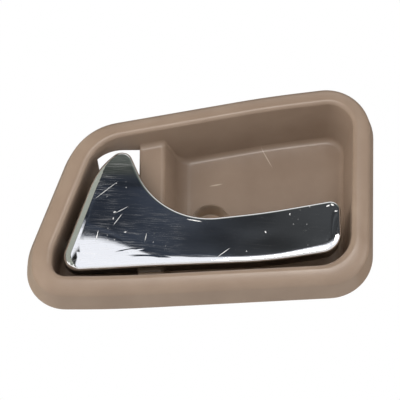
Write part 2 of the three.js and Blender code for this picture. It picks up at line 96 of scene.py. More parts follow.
PIVOT = Vector(joints["lever_pull"]["pos_m"]) / MM
PIVOT_AXIS = (PIVOT.x, PIVOT.y, 0)
CRANK_END = Vector(joints["clip_swivel"]["pos_m"]) / MM
LEVER_TRAVEL = math.radians(joints["lever_pull"]["range_deg"][1])
PIN_RADIUS = 2.0
LUG = {"r": 4.6, "upper": (1.5, 5.0), "lower": (-29.0, -25.5)}
EAR = {"r": 5.5, "bore": 3.5, "upper": (-2.5, 0.3), "lower": (-24.3, -21.5)}
CRANK = {"z": (-20.0, -16.5), "r": 4.2, "bore": 2.3}
REST = {"x": -22.2, "z": -20.0, "head": 3.2, "neck": 1.6}
STOP = {"y": 12.0, "z": -18.25, "head": 3.0, "neck": 1.5, "thick": 1.5}

FACE_Y = node_box("lever_cover")[0].y
SKIRT_Y = node_box("lever_cover")[1].y
COVER = {"side": 2.0, "front": 2.2}
CARRIER = {"front": -9.4, "back": -5.5, "inset": 2.4}
COVER_SCREWS = [(-51.0, -25.0), (-9.0, -21.0), (44.0, -18.0)]

# Corners: x, z, fillet radius, steps round the fillet, and the side that starts there. A sixth
# number is the share of an inset that the fillet's radius loses, where that isn't all of it.
TRIM_CORNERS = [
    (-77.2, -49.4, 17.8, 16, "bottom"),
    (-38.0, -49.4, 600.0, 24, "bottom"),
    (76.7, -43.2, 21.0, 20, "right", 0.45),
    (81.3, 59.4, 22.0, 20, "top"),
    (30.0, 52.6, 500.0, 24, "top"),
    (-56.2, 36.1, 30.0, 12, "left", 0.8),
    (-77.2, -24.1, 30.0, 4, "left"),
]
LEVER_CORNERS = [
    (-63.5, -35.2, 7.0, 16, "all"),
    (-20.0, -33.2, 400.0, 6, "all"),
    (30.0, -31.1, 200.0, 8, "all"),
    (62.9, -25.6, 10.0, 18, "all"),
    (62.7, -1.3, 4.5, 16, "all"),
    (30.0, -7.4, 300.0, 6, "all"),
    (-17.3, -13.0, 34.0, 32, "all"),
    (-33.7, 25.6, 5.0, 20, "all"),
    (-46.9, 13.0, 34.0, 14, "all"),
]
# Rim section: distance in from the edge, depth, rounding of that corner.
RIM_FRONT = [(0, 0, 0), (3.2, -11.8, 5.5), (7.6, -13.7, 9), (11.4, -14.1, 2.1), (11.4, MOUTH_Y, 0)]
RIM_BACK = [(9.0, -9.6, 0), (8.1, -11.3, 1.2), (5.6, -10.9, 1.2), (4.9, -9.4, 0), (WALL, 0, 0)]
# Starting corner and distance along that edge.
TAB_SPOTS = [(0, 24), (1, 84), (3, 30), (4, 58)]
TAB = {"inset": 6.2, "thick": 1.6, "width": 9.0, "back": 9.0}
RIB_SPOTS = [
    (0, 34), (1, 12), (1, 36), (1, 60), (1, 98), (2, 30), (2, 52), (2, 74),
    (4, 12), (4, 36), (3, 44), (5, 30), (5, 50),
]


# ------------------------------------------------------------------ plane outlines
SMALLEST_RADIUS = 0.4


def arc(cx, cy, radius, start, end, steps):
    """Points of an arc, its angles in degrees."""
    angles = np.radians(np.linspace(start, end, steps + 1))
    return [(cx + radius * math.cos(a), cy + radius * math.sin(a)) for a in angles]


def corner_arc(vertex, turn, radius, direction, steps):
    """Fillet between two lines that meet at vertex; direction is that of the first line."""
    side = math.copysign(1, turn)
    back = radius * math.tan(abs(turn) / 2)
    (vx, vz), (dx, dz) = vertex, direction
    cx = vx - dx * back - side * dz * radius
    cz = vz - dz * back + side * dx * radius
    start = math.atan2(-side * dx, side * dz)
    angles = [start + turn * k / steps for k in range(steps + 1)]
    return [(cx + radius * math.cos(a), cz + radius * math.sin(a)) for a in angles]


def corner_arcs(corners, inset_of):
    """Fillet arc of each corner, with every side moved inwards by inset_of(side)."""
    count = len(corners)
    sides = []
    for i, (x, z, _, _, side, *_) in enumerate(corners):
        nx, nz = corners[(i + 1) % count][:2]
        length = math.hypot(nx - x, nz - z)
        dx, dz = (nx - x) / length, (nz - z) / length
        inset = inset_of(side)
        sides.append((x - dz * inset, z + dx * inset, dx, dz, inset))
    arcs = []
    for i, (_, _, radius, steps, _, *ease) in enumerate(corners):
        bx, bz, bdx, bdz, b_inset = sides[i - 1]
        ax, az, adx, adz, a_inset = sides[i]
        cross = bdx * adz - bdz * adx
        turn = math.atan2(cross, bdx * adx + bdz * adz)
        reach = ((ax - bx) * adz - (az - bz) * adx) / cross
        vertex = (bx + bdx * reach, bz + bdz * reach)
        lost = (a_inset + b_inset) / 2 * (ease[0] if ease else 1.0)
        moved_radius = max(radius - math.copysign(lost, turn), SMALLEST_RADIUS)
        arcs.append(corner_arc(vertex, turn, moved_radius, (bdx, bdz), steps))
    return arcs


def outline(corners, inset=0.0):
    """Filleted outline of a corner list, moved inwards by inset."""
    return [point for points in corner_arcs(corners, lambda side: inset) for point in points]


def rounded_line(points):
    """An open line of (u, v, radius) points with its corners rounded off."""
    result = []
    for i, (u, v, radius) in enumerate(points):
        if radius == 0 or i in (0, len(points) - 1):
            result.append((u, v))
            continue
        before = Vector((u - points[i - 1][0], v - points[i - 1][1])).normalized()
        after = Vector((points[i + 1][0] - u, points[i + 1][1] - v)).normalized()
        turn = math.atan2(before.x * after.y - before.y * after.x, before.dot(after))
        steps = max(2, math.ceil(abs(math.degrees(turn)) / 10))
        result += corner_arc((u, v), turn, radius, tuple(before), steps)
    return result


# ------------------------------------------------------------------ meshes
def make_object(name, vertices, faces, smooth_angle=35):
    """A mesh object from millimetre vertices, its normals turned outwards."""
    mesh = bpy.data.meshes.new(name)
    mesh.from_pydata([Vector(v) * MM for v in vertices], [], faces)
    work = bmesh.new()
    work.from_mesh(mesh)
    bmesh.ops.remove_doubles(work, verts=work.verts, dist=1e-7)
    bmesh.ops.recalc_face_normals(work, faces=work.faces)
    work.to_mesh(mesh)
    work.free()
    obj = bpy.data.objects.new(name, mesh)
    bpy.context.scene.collection.objects.link(obj)
    return shaded(obj, smooth_angle)


def shaded(obj, smooth_angle=35):
    """Smooth shading, with edges sharper than the angle kept crisp."""
    obj.data.shade_smooth()
    obj.data.set_sharp_from_angle(angle=math.radians(smooth_angle))
    return obj


def applied(obj):
    """Turns the object's modifiers into mesh."""
    bpy.context.view_layer.update()
    graph = bpy.context.evaluated_depsgraph_get()
    mesh = bpy.data.meshes.new_from_object(obj.evaluated_get(graph))
    obj.modifiers.clear()
    old, obj.data = obj.data, mesh
    bpy.data.meshes.remove(old)
    return obj


def boolean(target, tools, operation):
    """Joins the tools to the target, or cuts them from it, one after another."""
    for tool in tools:
        step = target.modifiers.new("step", "BOOLEAN")
        step.operation = operation
        step.solver = "MANIFOLD"
        step.object = tool
        applied(target)
        bpy.data.meshes.remove(tool.data)
    return target


def weighted(obj):
    """Normals that follow the larger faces, so flats stay flat beside fillets."""
    modifier = obj.modifiers.new("weighted", "WEIGHTED_NORMAL")
    modifier.keep_sharp = True
    modifier.weight = 60
    return applied(obj)


def ring_quads(a, b, count):
    """Quads between two rings of count vertices, which start at vertices a and b."""
    return [(a + k, a + (k + 1) % count, b + (k + 1) % count, b + k) for k in range(count)]


def loft(name, rings):
    """Stacks rings of (x, y, z) points of equal count into a solid with flat ends."""
    count = len(rings[0])
    last = (len(rings) - 1) * count
    faces = []
    for start in range(0, last, count):
        faces += ring_quads(start, start + count, count)
    faces += [tuple(range(count)), tuple(range(last, last + count))]
    return make_object(name, [point for ring in rings for point in ring], faces)


BEVEL_ABOVE = math.radians(40)


def bevelled(obj, width):
    """Rounds off every edge sharper than BEVEL_ABOVE."""
    work = bmesh.new()
    work.from_mesh(obj.data)
    sharp = [edge for edge in work.edges
             if len(edge.link_faces) == 2 and edge.calc_face_angle(0) > BEVEL_ABOVE]
    bmesh.ops.bevel(work, geom=sharp, offset=width * MM, segments=2, profile=0.5,
                    affect="EDGES", clamp_overlap=True)
    work.to_mesh(obj.data)
    work.free()
    return shaded(obj)


PLACES = {
    "x": lambda a, b, along: (along, a, b),
    "y": lambda a, b, along: (a, along, b),
    "z": lambda a, b, along: (a, b, along),
}


def prism(name, points, span, axis="z", edge=0.0):
    """Extrudes an outline: (x, y) points along z, (x, z) along y or (y, z) along x."""
    obj = loft(name, [[PLACES[axis](a, b, along) for a, b in points] for along in span])
    return bevelled(obj, edge) if edge else obj


def block(name, xs, ys, zs, edge=0.0):
    points = [(xs[0], ys[0]), (xs[1], ys[0]), (xs[1], ys[1]), (xs[0], ys[1])]
    return prism(name, points, zs, "z", edge)


def lathe(name, profile, centre, axis="z", sides=64):
    """Turns a closed profile of (radius, height) points about an axis through centre."""
    c = Vector(centre)
    vertices, rows = [], []
    for r, height in profile:
        pole = abs(r) < 1e-6
        angles = [0.0] if pole else np.linspace(0, 2 * math.pi, sides, endpoint=False)
        rows.append([len(vertices) + k for k in range(len(angles))] * (sides if pole else 1))
        for a in angles:
            vertices.append(c + Vector(PLACES[axis](r * math.cos(a), r * math.sin(a), height)))
    faces = []
    for row, following in zip(rows, rows[1:] + rows[:1]):
        for k in range(sides):
            n = (k + 1) % sides
            corners = tuple(dict.fromkeys([row[k], row[n], following[n], following[k]]))
            if len(corners) > 2:
                faces.append(corners)
    return make_object(name, vertices, faces)


def tube(name, path, radius, sides=16):
    """A round wire along a list of points, with flat ends."""
    points = [Vector(p) for p in path]
    normal, rings = None, []
    for i, point in enumerate(points):
        ahead = (points[min(i + 1, len(points) - 1)] - points[max(i - 1, 0)]).normalized()
        normal = ahead.orthogonal().normalized() if normal is None else normal
        normal = (normal - ahead * normal.dot(ahead)).normalized()
        side = ahead.cross(normal)
        angles = np.linspace(0, 2 * math.pi, sides, endpoint=False)
        rings.append([point + radius * (math.cos(a) * normal + math.sin(a) * side) for a in angles])
    return loft(name, rings)


# ------------------------------------------------------------------ bezel
JUMP = 0.001  # run of x over which a floor line steps from one depth to another


def front_line():
    """Front surface of pocket, plateau, ramp and cup floor, as (x, y) with x rising."""
    run = (CUP_FLOOR_Y - PLATEAU_Y) * math.tan(RAMP_ANGLE)
    return rounded_line([
        (-90, POCKET_Y, 0), (PLATEAU_LEFT - JUMP, POCKET_Y, 0), (PLATEAU_LEFT, PLATEAU_Y, 0.8),
        (RAMP_TOP, PLATEAU_Y, 2.6), (RAMP_TOP + run, CUP_FLOOR_Y, FOOT_RADIUS), (90, CUP_FLOOR_Y, 0),
    ])


def back_line():
    """Back surface of the same moulding, a wall thickness behind the front."""
    lean = math.tan(RAMP_ANGLE)
    head = RAMP_TOP - WALL / math.cos(RAMP_ANGLE) + WALL * lean
    step = PLATEAU_LEFT + WALL
    return rounded_line([
        (-90, POCKET_Y + WALL, 0), (step - JUMP, POCKET_Y + WALL, 0), (step, PLATEAU_Y + WALL, 0.4),
        (head, PLATEAU_Y + WALL, 0.5),
        (head + (CUP_FLOOR_Y - PLATEAU_Y) * lean, CUP_FLOOR_Y + WALL, FOOT_RADIUS),
        (90, CUP_FLOOR_Y + WALL, 0),
    ])


def height_at(line):
    xs, ys = zip(*line)
    return lambda x: float(np.interp(x, xs, ys))


FIRST_STATION, LAST_STATION = -33.0, 49.0  # between the corners' fillets, whatever the inset
STATION_STEP, STATION_ROOM = 3.0, 0.8


def bezel_stations():
    """Places along x that both long edges share, close together where the floor bends."""
    bends = [x for x, _ in front_line() + back_line() if FIRST_STATION < x < LAST_STATION]
    even = [x for x in np.arange(FIRST_STATION, LAST_STATION + 0.5, STATION_STEP)
            if min(abs(x - bend) for bend in bends) > STATION_ROOM]
    return sorted({round(float(x), 4) for x in bends + even})


STATIONS = bezel_stations()
LEFT_STATIONS = [-56.0, -52.0, -48.0, -44.0, -41.0]
RIGHT_STEPS = 8
LEFT_STEPS = 4
CHORD_STEPS = 24


def wall_inset(side, y):
    return MOUTH_INSET * RIM_SPREAD[side] + (y - MOUTH_Y) * DRAFT[side]


def between(a, b, steps):
    shares = [(k + 1) / (steps + 1) for k in range(steps)]
    return [(a[0] + (b[0] - a[0]) * s, a[1] + (b[1] - a[1]) * s) for s in shares]


def trim_ring(inset_of, depth_of):
    """Closed ring round the bezel: inset_of(side, x) moves each side in, depth_of(x) is its y."""
    def arcs_at(x):
        return corner_arcs(TRIM_CORNERS, lambda side: inset_of(side, x))

    def edge(x, corners):
        arcs = arcs_at(x)
        points = sorted(point for corner in corners for point in arcs[corner])
        return x, float(np.interp(x, *zip(*points)))

    left, right = arcs_at(-90), arcs_at(90)
    points = [
        *left[0],
        *[edge(x, (0, 1)) for x in LEFT_STATIONS],
        *[edge(x, (0, 1, 2)) for x in STATIONS],
        *right[2],
        *between(right[2][-1], right[3][0], RIGHT_STEPS),
        *right[3],
        *[edge(x, (3, 4, 5)) for x in reversed(STATIONS)],
        *left[5],
        *between(left[5][-1], left[6][0], LEFT_STEPS),
        *left[6],
    ]
    return [(x, depth_of(x), z) for x, z in points]


def ring_pairs():
    """Index pairs of ring points that face each other across the opening, from left to right."""
    arcs = [corner[3] + 1 for corner in TRIM_CORNERS]
    low = arcs[0] + len(LEFT_STATIONS)
    high_end = low + 2 * len(STATIONS) + arcs[2] + RIGHT_STEPS + arcs[3]
    total = high_end + arcs[5] + LEFT_STEPS + arcs[6]
    pairs = [(k, total - 1 - k) for k in range((total - high_end))]
    half = len(STATIONS) + arcs[2] + RIGHT_STEPS // 2
    return pairs + [(low + k, high_end - 1 - k) for k in range(half)]


def floor_grid(vertices, start, depth_of):
    """Fills the ring that starts at vertex start with a grid that follows the floor."""
    pairs = [(start + a, start + b) for a, b in ring_pairs()]
    columns = []
    for a, b in pairs:
        (ax, _, az), (bx, _, bz) = vertices[a], vertices[b]
        column = [a]
        for step in range(1, CHORD_STEPS):
            share = step / CHORD_STEPS
            x = ax + (bx - ax) * share
            column.append(len(vertices))
            vertices.append((x, depth_of(x), az + (bz - az) * share))
        columns.append([*column, b])
    faces = []
    for left, right in zip(columns[1:-2], columns[2:-1]):
        faces += [(left[k], right[k], right[k + 1], left[k + 1]) for k in range(CHORD_STEPS)]
    faces.append((*pairs[0], *reversed(columns[1])))
    faces.append((*columns[-2], *reversed(pairs[-1])))
    return faces


def bezel_shell():
    """Rim, walls and floors as one moulded sheet of even wall thickness."""
    front, back = height_at(front_line()), height_at(back_line())

    def rim_rings(section):
        return [trim_ring(lambda side, x, i=inset: i * RIM_SPREAD[side], lambda x, y=y: y)
                for inset, y in section]

    def wall_rings(floor, offset, radius, top):
        found = []
        for share in np.linspace(0, 1, 7)[:-1]:
            def depth(x, share=share):
                return top + (floor(x) - radius - top) * share
            found.append(trim_ring(lambda side, x, d=depth: wall_inset(side, d(x)) - offset, depth))
        for turn in np.radians(np.linspace(0, 90, 7)):
            def inset(side, x, turn=turn):
                return wall_inset(side, floor(x) - radius) - offset + radius * (1 - math.cos(turn))
            found.append(trim_ring(inset, lambda x, turn=turn: floor(x) - radius * (1 - math.sin(turn))))
        return found

    rings = rim_rings(rounded_line(RIM_FRONT)[:-1])
    rings += wall_rings(front, 0, FLOOR_FILLET, MOUTH_Y)
    front_end = len(rings) - 1
    rings += reversed(wall_rings(back, WALL, FLOOR_FILLET + WALL, RIM_BACK[0][1]))
    back_start = front_end + 1
    rings += rim_rings(rounded_line(RIM_BACK)[1:])

    count = len(rings[0])
    vertices = [point for ring in rings for point in ring]
    faces = []
    for band in range(len(rings)):
        if band == front_end:
            continue
        following = (band + 1) % len(rings)
        faces += ring_quads(band * count, following * count, count)
    faces += floor_grid(vertices, front_end * count, front)
    faces += floor_grid(vertices, back_start * count, back)
    return make_object("bezel_housing_visual", vertices, faces)


def rim_section(name, corner, distance, section, thickness, edge):
    """A plate across the rim: (inset, y) points, extruded along the rim's edge."""
    a = Vector((TRIM_CORNERS[corner][0], 0, TRIM_CORNERS[corner][1]))
    following = TRIM_CORNERS[(corner + 1) % len(TRIM_CORNERS)]
    along = (Vector((following[0], 0, following[1])) - a).normalized()
    inward = Vector((-along.z, 0, along.x))
    place = a + along * distance
    rings = [[place + inward * inset + Vector((0, y, 0)) + along * shift for inset, y in section]
             for shift in (-thickness / 2, thickness / 2)]
    obj = loft(name, rings)
    return bevelled(obj, edge) if edge else obj


def pivot_lug(span):
    root = PLATEAU_LEFT + 0.6
    arm = [
        *arc(PIVOT.x, PIVOT.y, LUG["r"], 180, 305, 24),
        (root, 0.4), (root, POCKET_Y + 0.6), (PIVOT.x - LUG["r"], POCKET_Y + 0.6),
    ]
    return prism("lug", arm, span, "z", 0.35)


def well_cutter():
    """Round recess for the fixing screw, with a soft lip and a small radius at its floor."""
    r, floor, lip = WELL["r"], WELL["floor"], 0.7
    profile = [
        (0, CUP_FLOOR_Y - 3), (r + lip * 0.85, CUP_FLOOR_Y - 3),
        *[(r + lip * (1 - math.cos(a)), CUP_FLOOR_Y + lip * (1 - math.sin(a)))
          for a in np.radians([80, 62, 45, 28, 12, 0])],
        *[(r - 0.6 + 0.6 * math.cos(a), floor - 0.6 + 0.6 * math.sin(a))
          for a in np.radians([0, 30, 60, 90])],
        (0, floor),
    ]
    return lathe("well", profile, (WELL["x"], 0, WELL["z"]), "y", 96)


def round_cutter(radius, span, centre, axis, sides=40):
    low, high = span
    return lathe("bore", [(0, low), (radius, low), (radius, high), (0, high)], centre, axis, sides)


def window_cutter():
    """Opening behind the lever's fin: slanted left edge, wall cut back less to the left, rim kept."""
    top = WINDOW_LEFT["x"] + WINDOW_LEFT["lean"] * (80 - WINDOW_SILL)
    opening = [(WINDOW_LEFT["x"], WINDOW_SILL), (PLATEAU_LEFT, WINDOW_SILL), (PLATEAU_LEFT, 80), (top, 80)]
    near = [(x, WINDOW_WALL["y"] + WINDOW_WALL["lean"] * (x - PLATEAU_LEFT), z) for x, z in opening]
    window = loft("window", [near, [(x, 60, z) for x, z in opening]])
    inside_rim = prism("inside_rim", outline(TRIM_CORNERS, WINDOW_MARGIN), (-20, 61), "y")
    return boolean(window, [inside_rim], "INTERSECT")


def bezel():
    shell = bezel_shell()
    boolean(shell, [window_cutter()], "DIFFERENCE")

    left = PLATEAU_LEFT
    head = PLATEAU_Y + 1.4
    gusset = [(left + 0.7, head), (-18, head), (-10.6, 17.6), (left + 0.7, 17.6)]
    boss_at = (WELL["x"], 0, WELL["z"])
    boss = [(0, 18), (BOSS["r"], 18), (BOSS["r"], BOSS["back"] - 0.8),
            (BOSS["r"] - 0.8, BOSS["back"]), (0, BOSS["back"])]
    rib = [(1.4, -1.5), (3.8, -10.6), (9.6, -10.6), (9.6, -1.5)]
    near, far = TAB["inset"] - TAB["thick"] / 2, TAB["inset"] + TAB["thick"] / 2
    tab = [(near, TAB["back"]), (near, -12), (far, -12), (far, TAB["back"])]
    boolean(shell, [
        block("web", (left + 0.02, left + WALL), (PLATEAU_Y + 0.9, 20), (-36.5, 12), 0.3),
        *[prism("gusset", gusset, span, "z", 0.3) for span in ((-31, -29), (8, 10))],
        lathe("boss", boss, boss_at, "y", 72),
        block("fin", (-10.5, 20.5), (18.6, 26), (-3, -1), 0.3),
        block("fin", (4, 6), (18.6, 26), (-17.5, 14), 0.3),
        pivot_lug(LUG["upper"]),
        pivot_lug(LUG["lower"]),
        *[rim_section("rib", corner, distance, rib, 1.4, 0) for corner, distance in RIB_SPOTS],
        *[rim_section("tab", corner, distance, tab, TAB["width"], 0.3) for corner, distance in TAB_SPOTS],
    ], "UNION")

    slot_z = (CRANK["z"][0] - 1.9, CRANK["z"][1] + 1.9)
    boolean(shell, [
        well_cutter(),
        round_cutter(BOSS["hole"], (WELL["floor"] - 1, BOSS["back"] + 1), boss_at, "y"),
        round_cutter(PIN_RADIUS + GAP, (-33, 10), (PIVOT.x, PIVOT.y, 0), "z"),
        round_cutter(REST["neck"] + GAP, (PLATEAU_Y - 2, 6), (REST["x"], 0, REST["z"]), "y"),
        round_cutter(STOP["neck"] + GAP, (left - 2, left + 6), (0, STOP["y"], STOP["z"]), "x"),
        block("notch", (left - 1, left + 4), (PLATEAU_Y + WALL, 3), (-15.2, -12.2)),
        block("slot", (-60.5, left), (POCKET_Y - 1, POCKET_Y + WALL + 1), slot_z, 0.5),
    ], "DIFFERENCE")
    return weighted(shaded(shell, 32))


# ------------------------------------------------------------------ lever
EDGE_ROLL = 1.6
LEFT_STRIP = 3.5
PANEL_INSETS = [1.6, 2.1, 2.7, 3.1, 3.4, 3.6, 4.0, 4.6]


def distance_from(points):
    """A function for the distance from (x, z) to an open line of points."""
    starts = np.array(points[:-1])
    steps = np.array(points[1:]) - starts
    lengths = np.maximum((steps ** 2).sum(axis=1), 1e-9)

    def distance(x, z):
        here = np.array((x, z)) - starts
        share = np.clip((here * steps).sum(axis=1) / lengths, 0, 1)
        return float(np.hypot(*(here - steps * share[:, None]).T).min())

    return distance


def edge_distances():
    """Distances to the lever's left edge with its lower corner, and to its lower edge."""
    arcs = corner_arcs(LEVER_CORNERS, lambda side: 0.0)
    left = [*arcs[7][10:], *arcs[8], *arcs[0]]
    lower = [*arcs[0][10:], *arcs[1], *arcs[2], *arcs[3]]
    return distance_from(left), distance_from(lower)


from_left_edge, from_lower_edge = edge_distances()


def smooth_step(value, low, high):
    t = max(0.0, min(1.0, (value - low) / (high - low)))
    return t * t * (3 - 2 * t)


def face_height(x, z):
    """Front of the lever: nearly flat, rolled under along its lower edge, leaning back at the peak."""
    left = 1 - smooth_step(x, -54, -10)
    right = smooth_step(x, 30, 60)
    roll_width = 3.2 + 19 * left + 1.6 * right
    depth = 0.34 + 1.8 * left + 0.2 * right
    roll = depth * max(0.0, 1 - from_lower_edge(x, z) / roll_width) ** 2
    low_crown = max(0.0, -14 - z) ** 2 / 1200
    high_crown = max(0.0, z + 4) ** 2 / 620
    narrower = 0.7 * smooth_step(z, 6, 20)
    past_corner = smooth_step(x, -58, -52) * smooth_step(-z, 25, 30)
    bevel_width = LEFT_STRIP * (1 - narrower) * (1 - past_corner)
    bevel = 0.3 * max(0.0, bevel_width - from_left_edge(x, z))
    return FACE_Y - 0.5 + roll + low_crown + high_crown + bevel


def panel(vertices, ring, height_of, spacing=1.3):
    """Fills a ring of (x, z) points, already the last of the vertices, with a fine curved panel."""
    start = len(vertices) - len(ring)
    xs, zs = [x for x, _ in ring], [z for _, z in ring]
    from_ring = distance_from(ring + ring[:1])
    inside = []
    for gz in np.arange(min(zs), max(zs), spacing):
        for gx in np.arange(min(xs), max(xs), spacing):
            if contains(ring, gx, gz) and from_ring(gx, gz) > 0.55 * spacing:
                inside.append((float(gx), float(gz)))
    edges = [(k, (k + 1) % len(ring)) for k in range(len(ring))]
    found = geometry.delaunay_2d_cdt([Vector(p) for p in ring + inside], edges, [], 1, 1e-6)
    vertices += [(x, height_of(x, z), z) for x, z in inside]
    return [tuple(start + k for k in face) for face in found[2]]


def contains(ring, x, z):
    odd = False
    for (ax, az), (bx, bz) in zip(ring, ring[1:] + ring[:1]):
        if (az > z) != (bz > z) and x < ax + (z - az) * (bx - ax) / (bz - az):
            odd = not odd
    return odd


def lever_shape(steps, height_of, base):
    """Closed cover or plate: steps are (inset, depth function), panel on the last, base ring first."""
    vertices, faces = [], []
    rings = [outline(LEVER_CORNERS, inset) for inset, _ in steps]
    for ring, (_, depth_of) in zip(rings, steps):
        vertices += [(x, depth_of(x, z), z) for x, z in ring]
    count = len(rings[0])
    for band in range(len(rings) - 1):
        faces += ring_quads(band * count, (band + 1) * count, count)
    faces += panel(vertices, rings[-1], height_of)
    if base:
        faces.append(tuple(range(count)))
    return vertices, faces


def lever_cover():
    """Chromed cover: rolled edge, crowned face, open at the back."""
    def rolled(angle):
        inset = EDGE_ROLL * (1 - math.cos(angle))
        drop = EDGE_ROLL * (1 - math.sin(angle))
        return inset, lambda x, z: face_height(x, z) + drop

    def underside(x, z):
        return face_height(x, z) + COVER["front"]

    steps = [
        (COVER["side"], lambda x, z: SKIRT_Y), (0.35, lambda x, z: SKIRT_Y),
        (0.1, lambda x, z: SKIRT_Y - 0.1), (0.0, lambda x, z: SKIRT_Y - 0.35),
        *[rolled(a) for a in np.radians([0, 15, 30, 45, 60, 75])],
        *[(inset, face_height) for inset in PANEL_INSETS],
    ]
    vertices, faces = lever_shape(steps, face_height, False)
    count = len(outline(LEVER_CORNERS))
    inner_start = len(vertices)
    inner = outline(LEVER_CORNERS, COVER["side"])
    vertices += [(x, underside(x, z), z) for x, z in inner]
    faces += ring_quads(0, inner_start, count)
    faces += panel(vertices, inner, underside, 2.5)
    cover = make_object("lever_cover_visual", vertices, faces)
    posts = [lathe("post", [(0, -11), (2.6, -11), (2.6, -6.4), (2.4, -6.2), (0, -6.2)], (x, 0, z), "y", 32)
             for x, z in COVER_SCREWS]
    boolean(cover, posts, "UNION")
    boolean(cover, [round_cutter(1.6, (-8.6, -6), (x, 0, z), "y", 24) for x, z in COVER_SCREWS],
            "DIFFERENCE")
    return face_normals(weighted(shaded(cover, 50)))


def face_normals(cover):
    """Gives the front its exact curvature in its normals, so that reflections run smoothly."""
    mesh = cover.data
    reach = 0.12
    normals = [corner.vector.copy() for corner in mesh.corner_normals]
    for loop in mesh.loops:
        x, y, z = mesh.vertices[loop.vertex_index].co / MM
        if y > FACE_Y + 3 or abs(y - face_height(x, z)) > 0.002:
            continue
        across = face_height(x + reach, z) - face_height(x - reach, z)
        up = face_height(x, z + reach) - face_height(x, z - reach)
        normals[loop.index] = Vector((across, -2 * reach, up)).normalized()
    mesh.normals_split_custom_set(normals)
    return cover


# ------------------------------------------------------------------ materials
class Graph:
    """A short way to write node trees; place is the position that its textures use."""

    def __init__(self, tree, position):
        self.tree = tree
        self.place = self.node("ShaderNodeTexCoord").outputs[position]

    def node(self, kind, inputs=None, **settings):
        node = self.tree.nodes.new(kind)
        for key, value in settings.items():
            setattr(node, key, value)
        for key, value in (inputs or {}).items():
            self.feed(node.inputs[key], value)
        return node

    def feed(self, socket, value):
        if isinstance(value, bpy.types.NodeSocket):
            self.tree.links.new(value, socket)
        else:
            socket.default_value = value

    def along(self, axis, vector=None):
        """One coordinate of a vector, or of the position itself."""
        return self.node("ShaderNodeSeparateXYZ", {"Vector": vector or self.place}).outputs[axis]

    def stretched(self, scale, turn=(0, 0, 0)):
        inputs = {"Vector": self.place, "Scale": [1 / s for s in scale],
                  "Rotation": [math.radians(a) for a in turn]}
        return self.node("ShaderNodeMapping", inputs, vector_type="TEXTURE").outputs["Vector"]

    def noise(self, scale, detail=3.0, roughness=0.5, vector=None):
        inputs = {"Vector": vector or self.place, "Scale": scale, "Detail": detail, "Roughness": roughness}
        return self.node("ShaderNodeTexNoise", inputs).outputs["Fac"]

    def cells(self, scale, vector=None):
        """Distance to the nearest of many scattered points."""
        inputs = {"Vector": vector or self.place, "Scale": scale}
        return self.node("ShaderNodeTexVoronoi", inputs).outputs["Distance"]

    def spread(self, value, low, high, to_low=0.0, to_high=1.0):
        """Maps low..high to to_low..to_high and holds it there."""
        inputs = {"Value": value, "From Min": low, "From Max": high, "To Min": to_low, "To Max": to_high}
        return self.node("ShaderNodeMapRange", inputs).outputs["Result"]

    def ramp(self, value, stops):
        """Colour ramp through (position, colour) stops."""
        node = self.node("ShaderNodeValToRGB", {"Fac": value})
        elements = node.color_ramp.elements
        for _ in stops[2:]:
            elements.new(0.5)
        for element, (position, tone) in zip(elements, stops):
            element.position = position
            element.color = tone
        return node.outputs["Color"]

    def math(self, operation, a, b=0.0):
        node = self.node("ShaderNodeMath", operation=operation)
        self.feed(node.inputs[0], a)
        self.feed(node.inputs[1], b)
        return node.outputs["Value"]

    def mix(self, share, a, b, blend="MIX"):
        """Mixes two colours; the node's sockets 6 and 7 are its colour pair."""
        node = self.node("ShaderNodeMix", data_type="RGBA", blend_type=blend)
        self.feed(node.inputs[0], share)
        self.feed(node.inputs[6], a)
        self.feed(node.inputs[7], b)
        return node.outputs[2]

    def bump(self, height, distance, strength=1.0, below=None):
        inputs = {"Height": height, "Distance": distance * MM, "Strength": strength}
        if below:
            inputs["Normal"] = below
        return self.node("ShaderNodeBump", inputs).outputs["Normal"]

    def most(self, first, *others):
        """The largest of several values."""
        for other in others:
            first = self.math("MAXIMUM", first, other)
        return first

    def stroke(self, x, z, length, slope, width):
        """One tapered scratch seen along Y: centre and size in mm, slope in degrees; 0..1."""
        inputs = {"Vector": self.place, "Location": (x * MM, 0, z * MM),
                  "Rotation": (0, -math.radians(slope), 0), "Scale": (length / 2 * MM, 1, width / 2 * MM)}
        spot = self.node("ShaderNodeMapping", inputs, vector_type="TEXTURE").outputs["Vector"]
        round_spot = self.node("ShaderNodeTexGradient", {"Vector": spot}, gradient_type="SPHERICAL")
        return self.spread(round_spot.outputs["Fac"], 0.0, 0.5)

    def scratches(self, turn, density, length=0.02, width=0.5):
        """Thin straight lines, width in mm, as 0..1; a coarse noise breaks them into stretches."""
        lines = self.cells(density, self.stretched((length, length, 1), turn))
        broken = self.spread(self.noise(90, 2), 0.48, 0.6)
        half = width * density * MM / 2
        return self.math("MULTIPLY", self.spread(lines, 0.0, half, 1, 0), broken)


class Nodes(Graph):
    """A material built on the Principled shader, named after the record's slot it looks like."""

    def __init__(self, name, slot):
        self.material = bpy.data.materials.new(name)
        self.material.use_nodes = True
        self.slot = slot
        super().__init__(self.material.node_tree, "Object")
        self.shader = self.tree.nodes["Principled BSDF"]

    def set(self, **values):
        for key, value in values.items():
            self.feed(self.shader.inputs[key.replace("_", " ")], value)


def colour(red, green, blue):
    """Linear colour from 0..255 display values."""
    def linear(value):
        value /= 255
        return value / 12.92 if value <= 0.04045 else ((value + 0.055) / 1.055) ** 2.4
    return linear(red), linear(green), linear(blue), 1.0


# Marks: centre x and z, length, slope in degrees, width.
# Most centres and slopes here, in CHROME_SCRATCHES and in the first of CHROME_RIDGES are values that a
# scratch script printed for points picked in the photo, some of them rounded since. Lengths are those values
# made longer; widths are chosen.
CUP_SCRATCHES = [(31.4, 31.2, 13, -63, 0.6), (7.5, 17.2, 7, 11, 0.9)]
# Painted light: the reach of the paler colour painted into the screw well.
WELL_PAINTED_LIGHT = {"within": 10.2, "fades_by": 10.8}


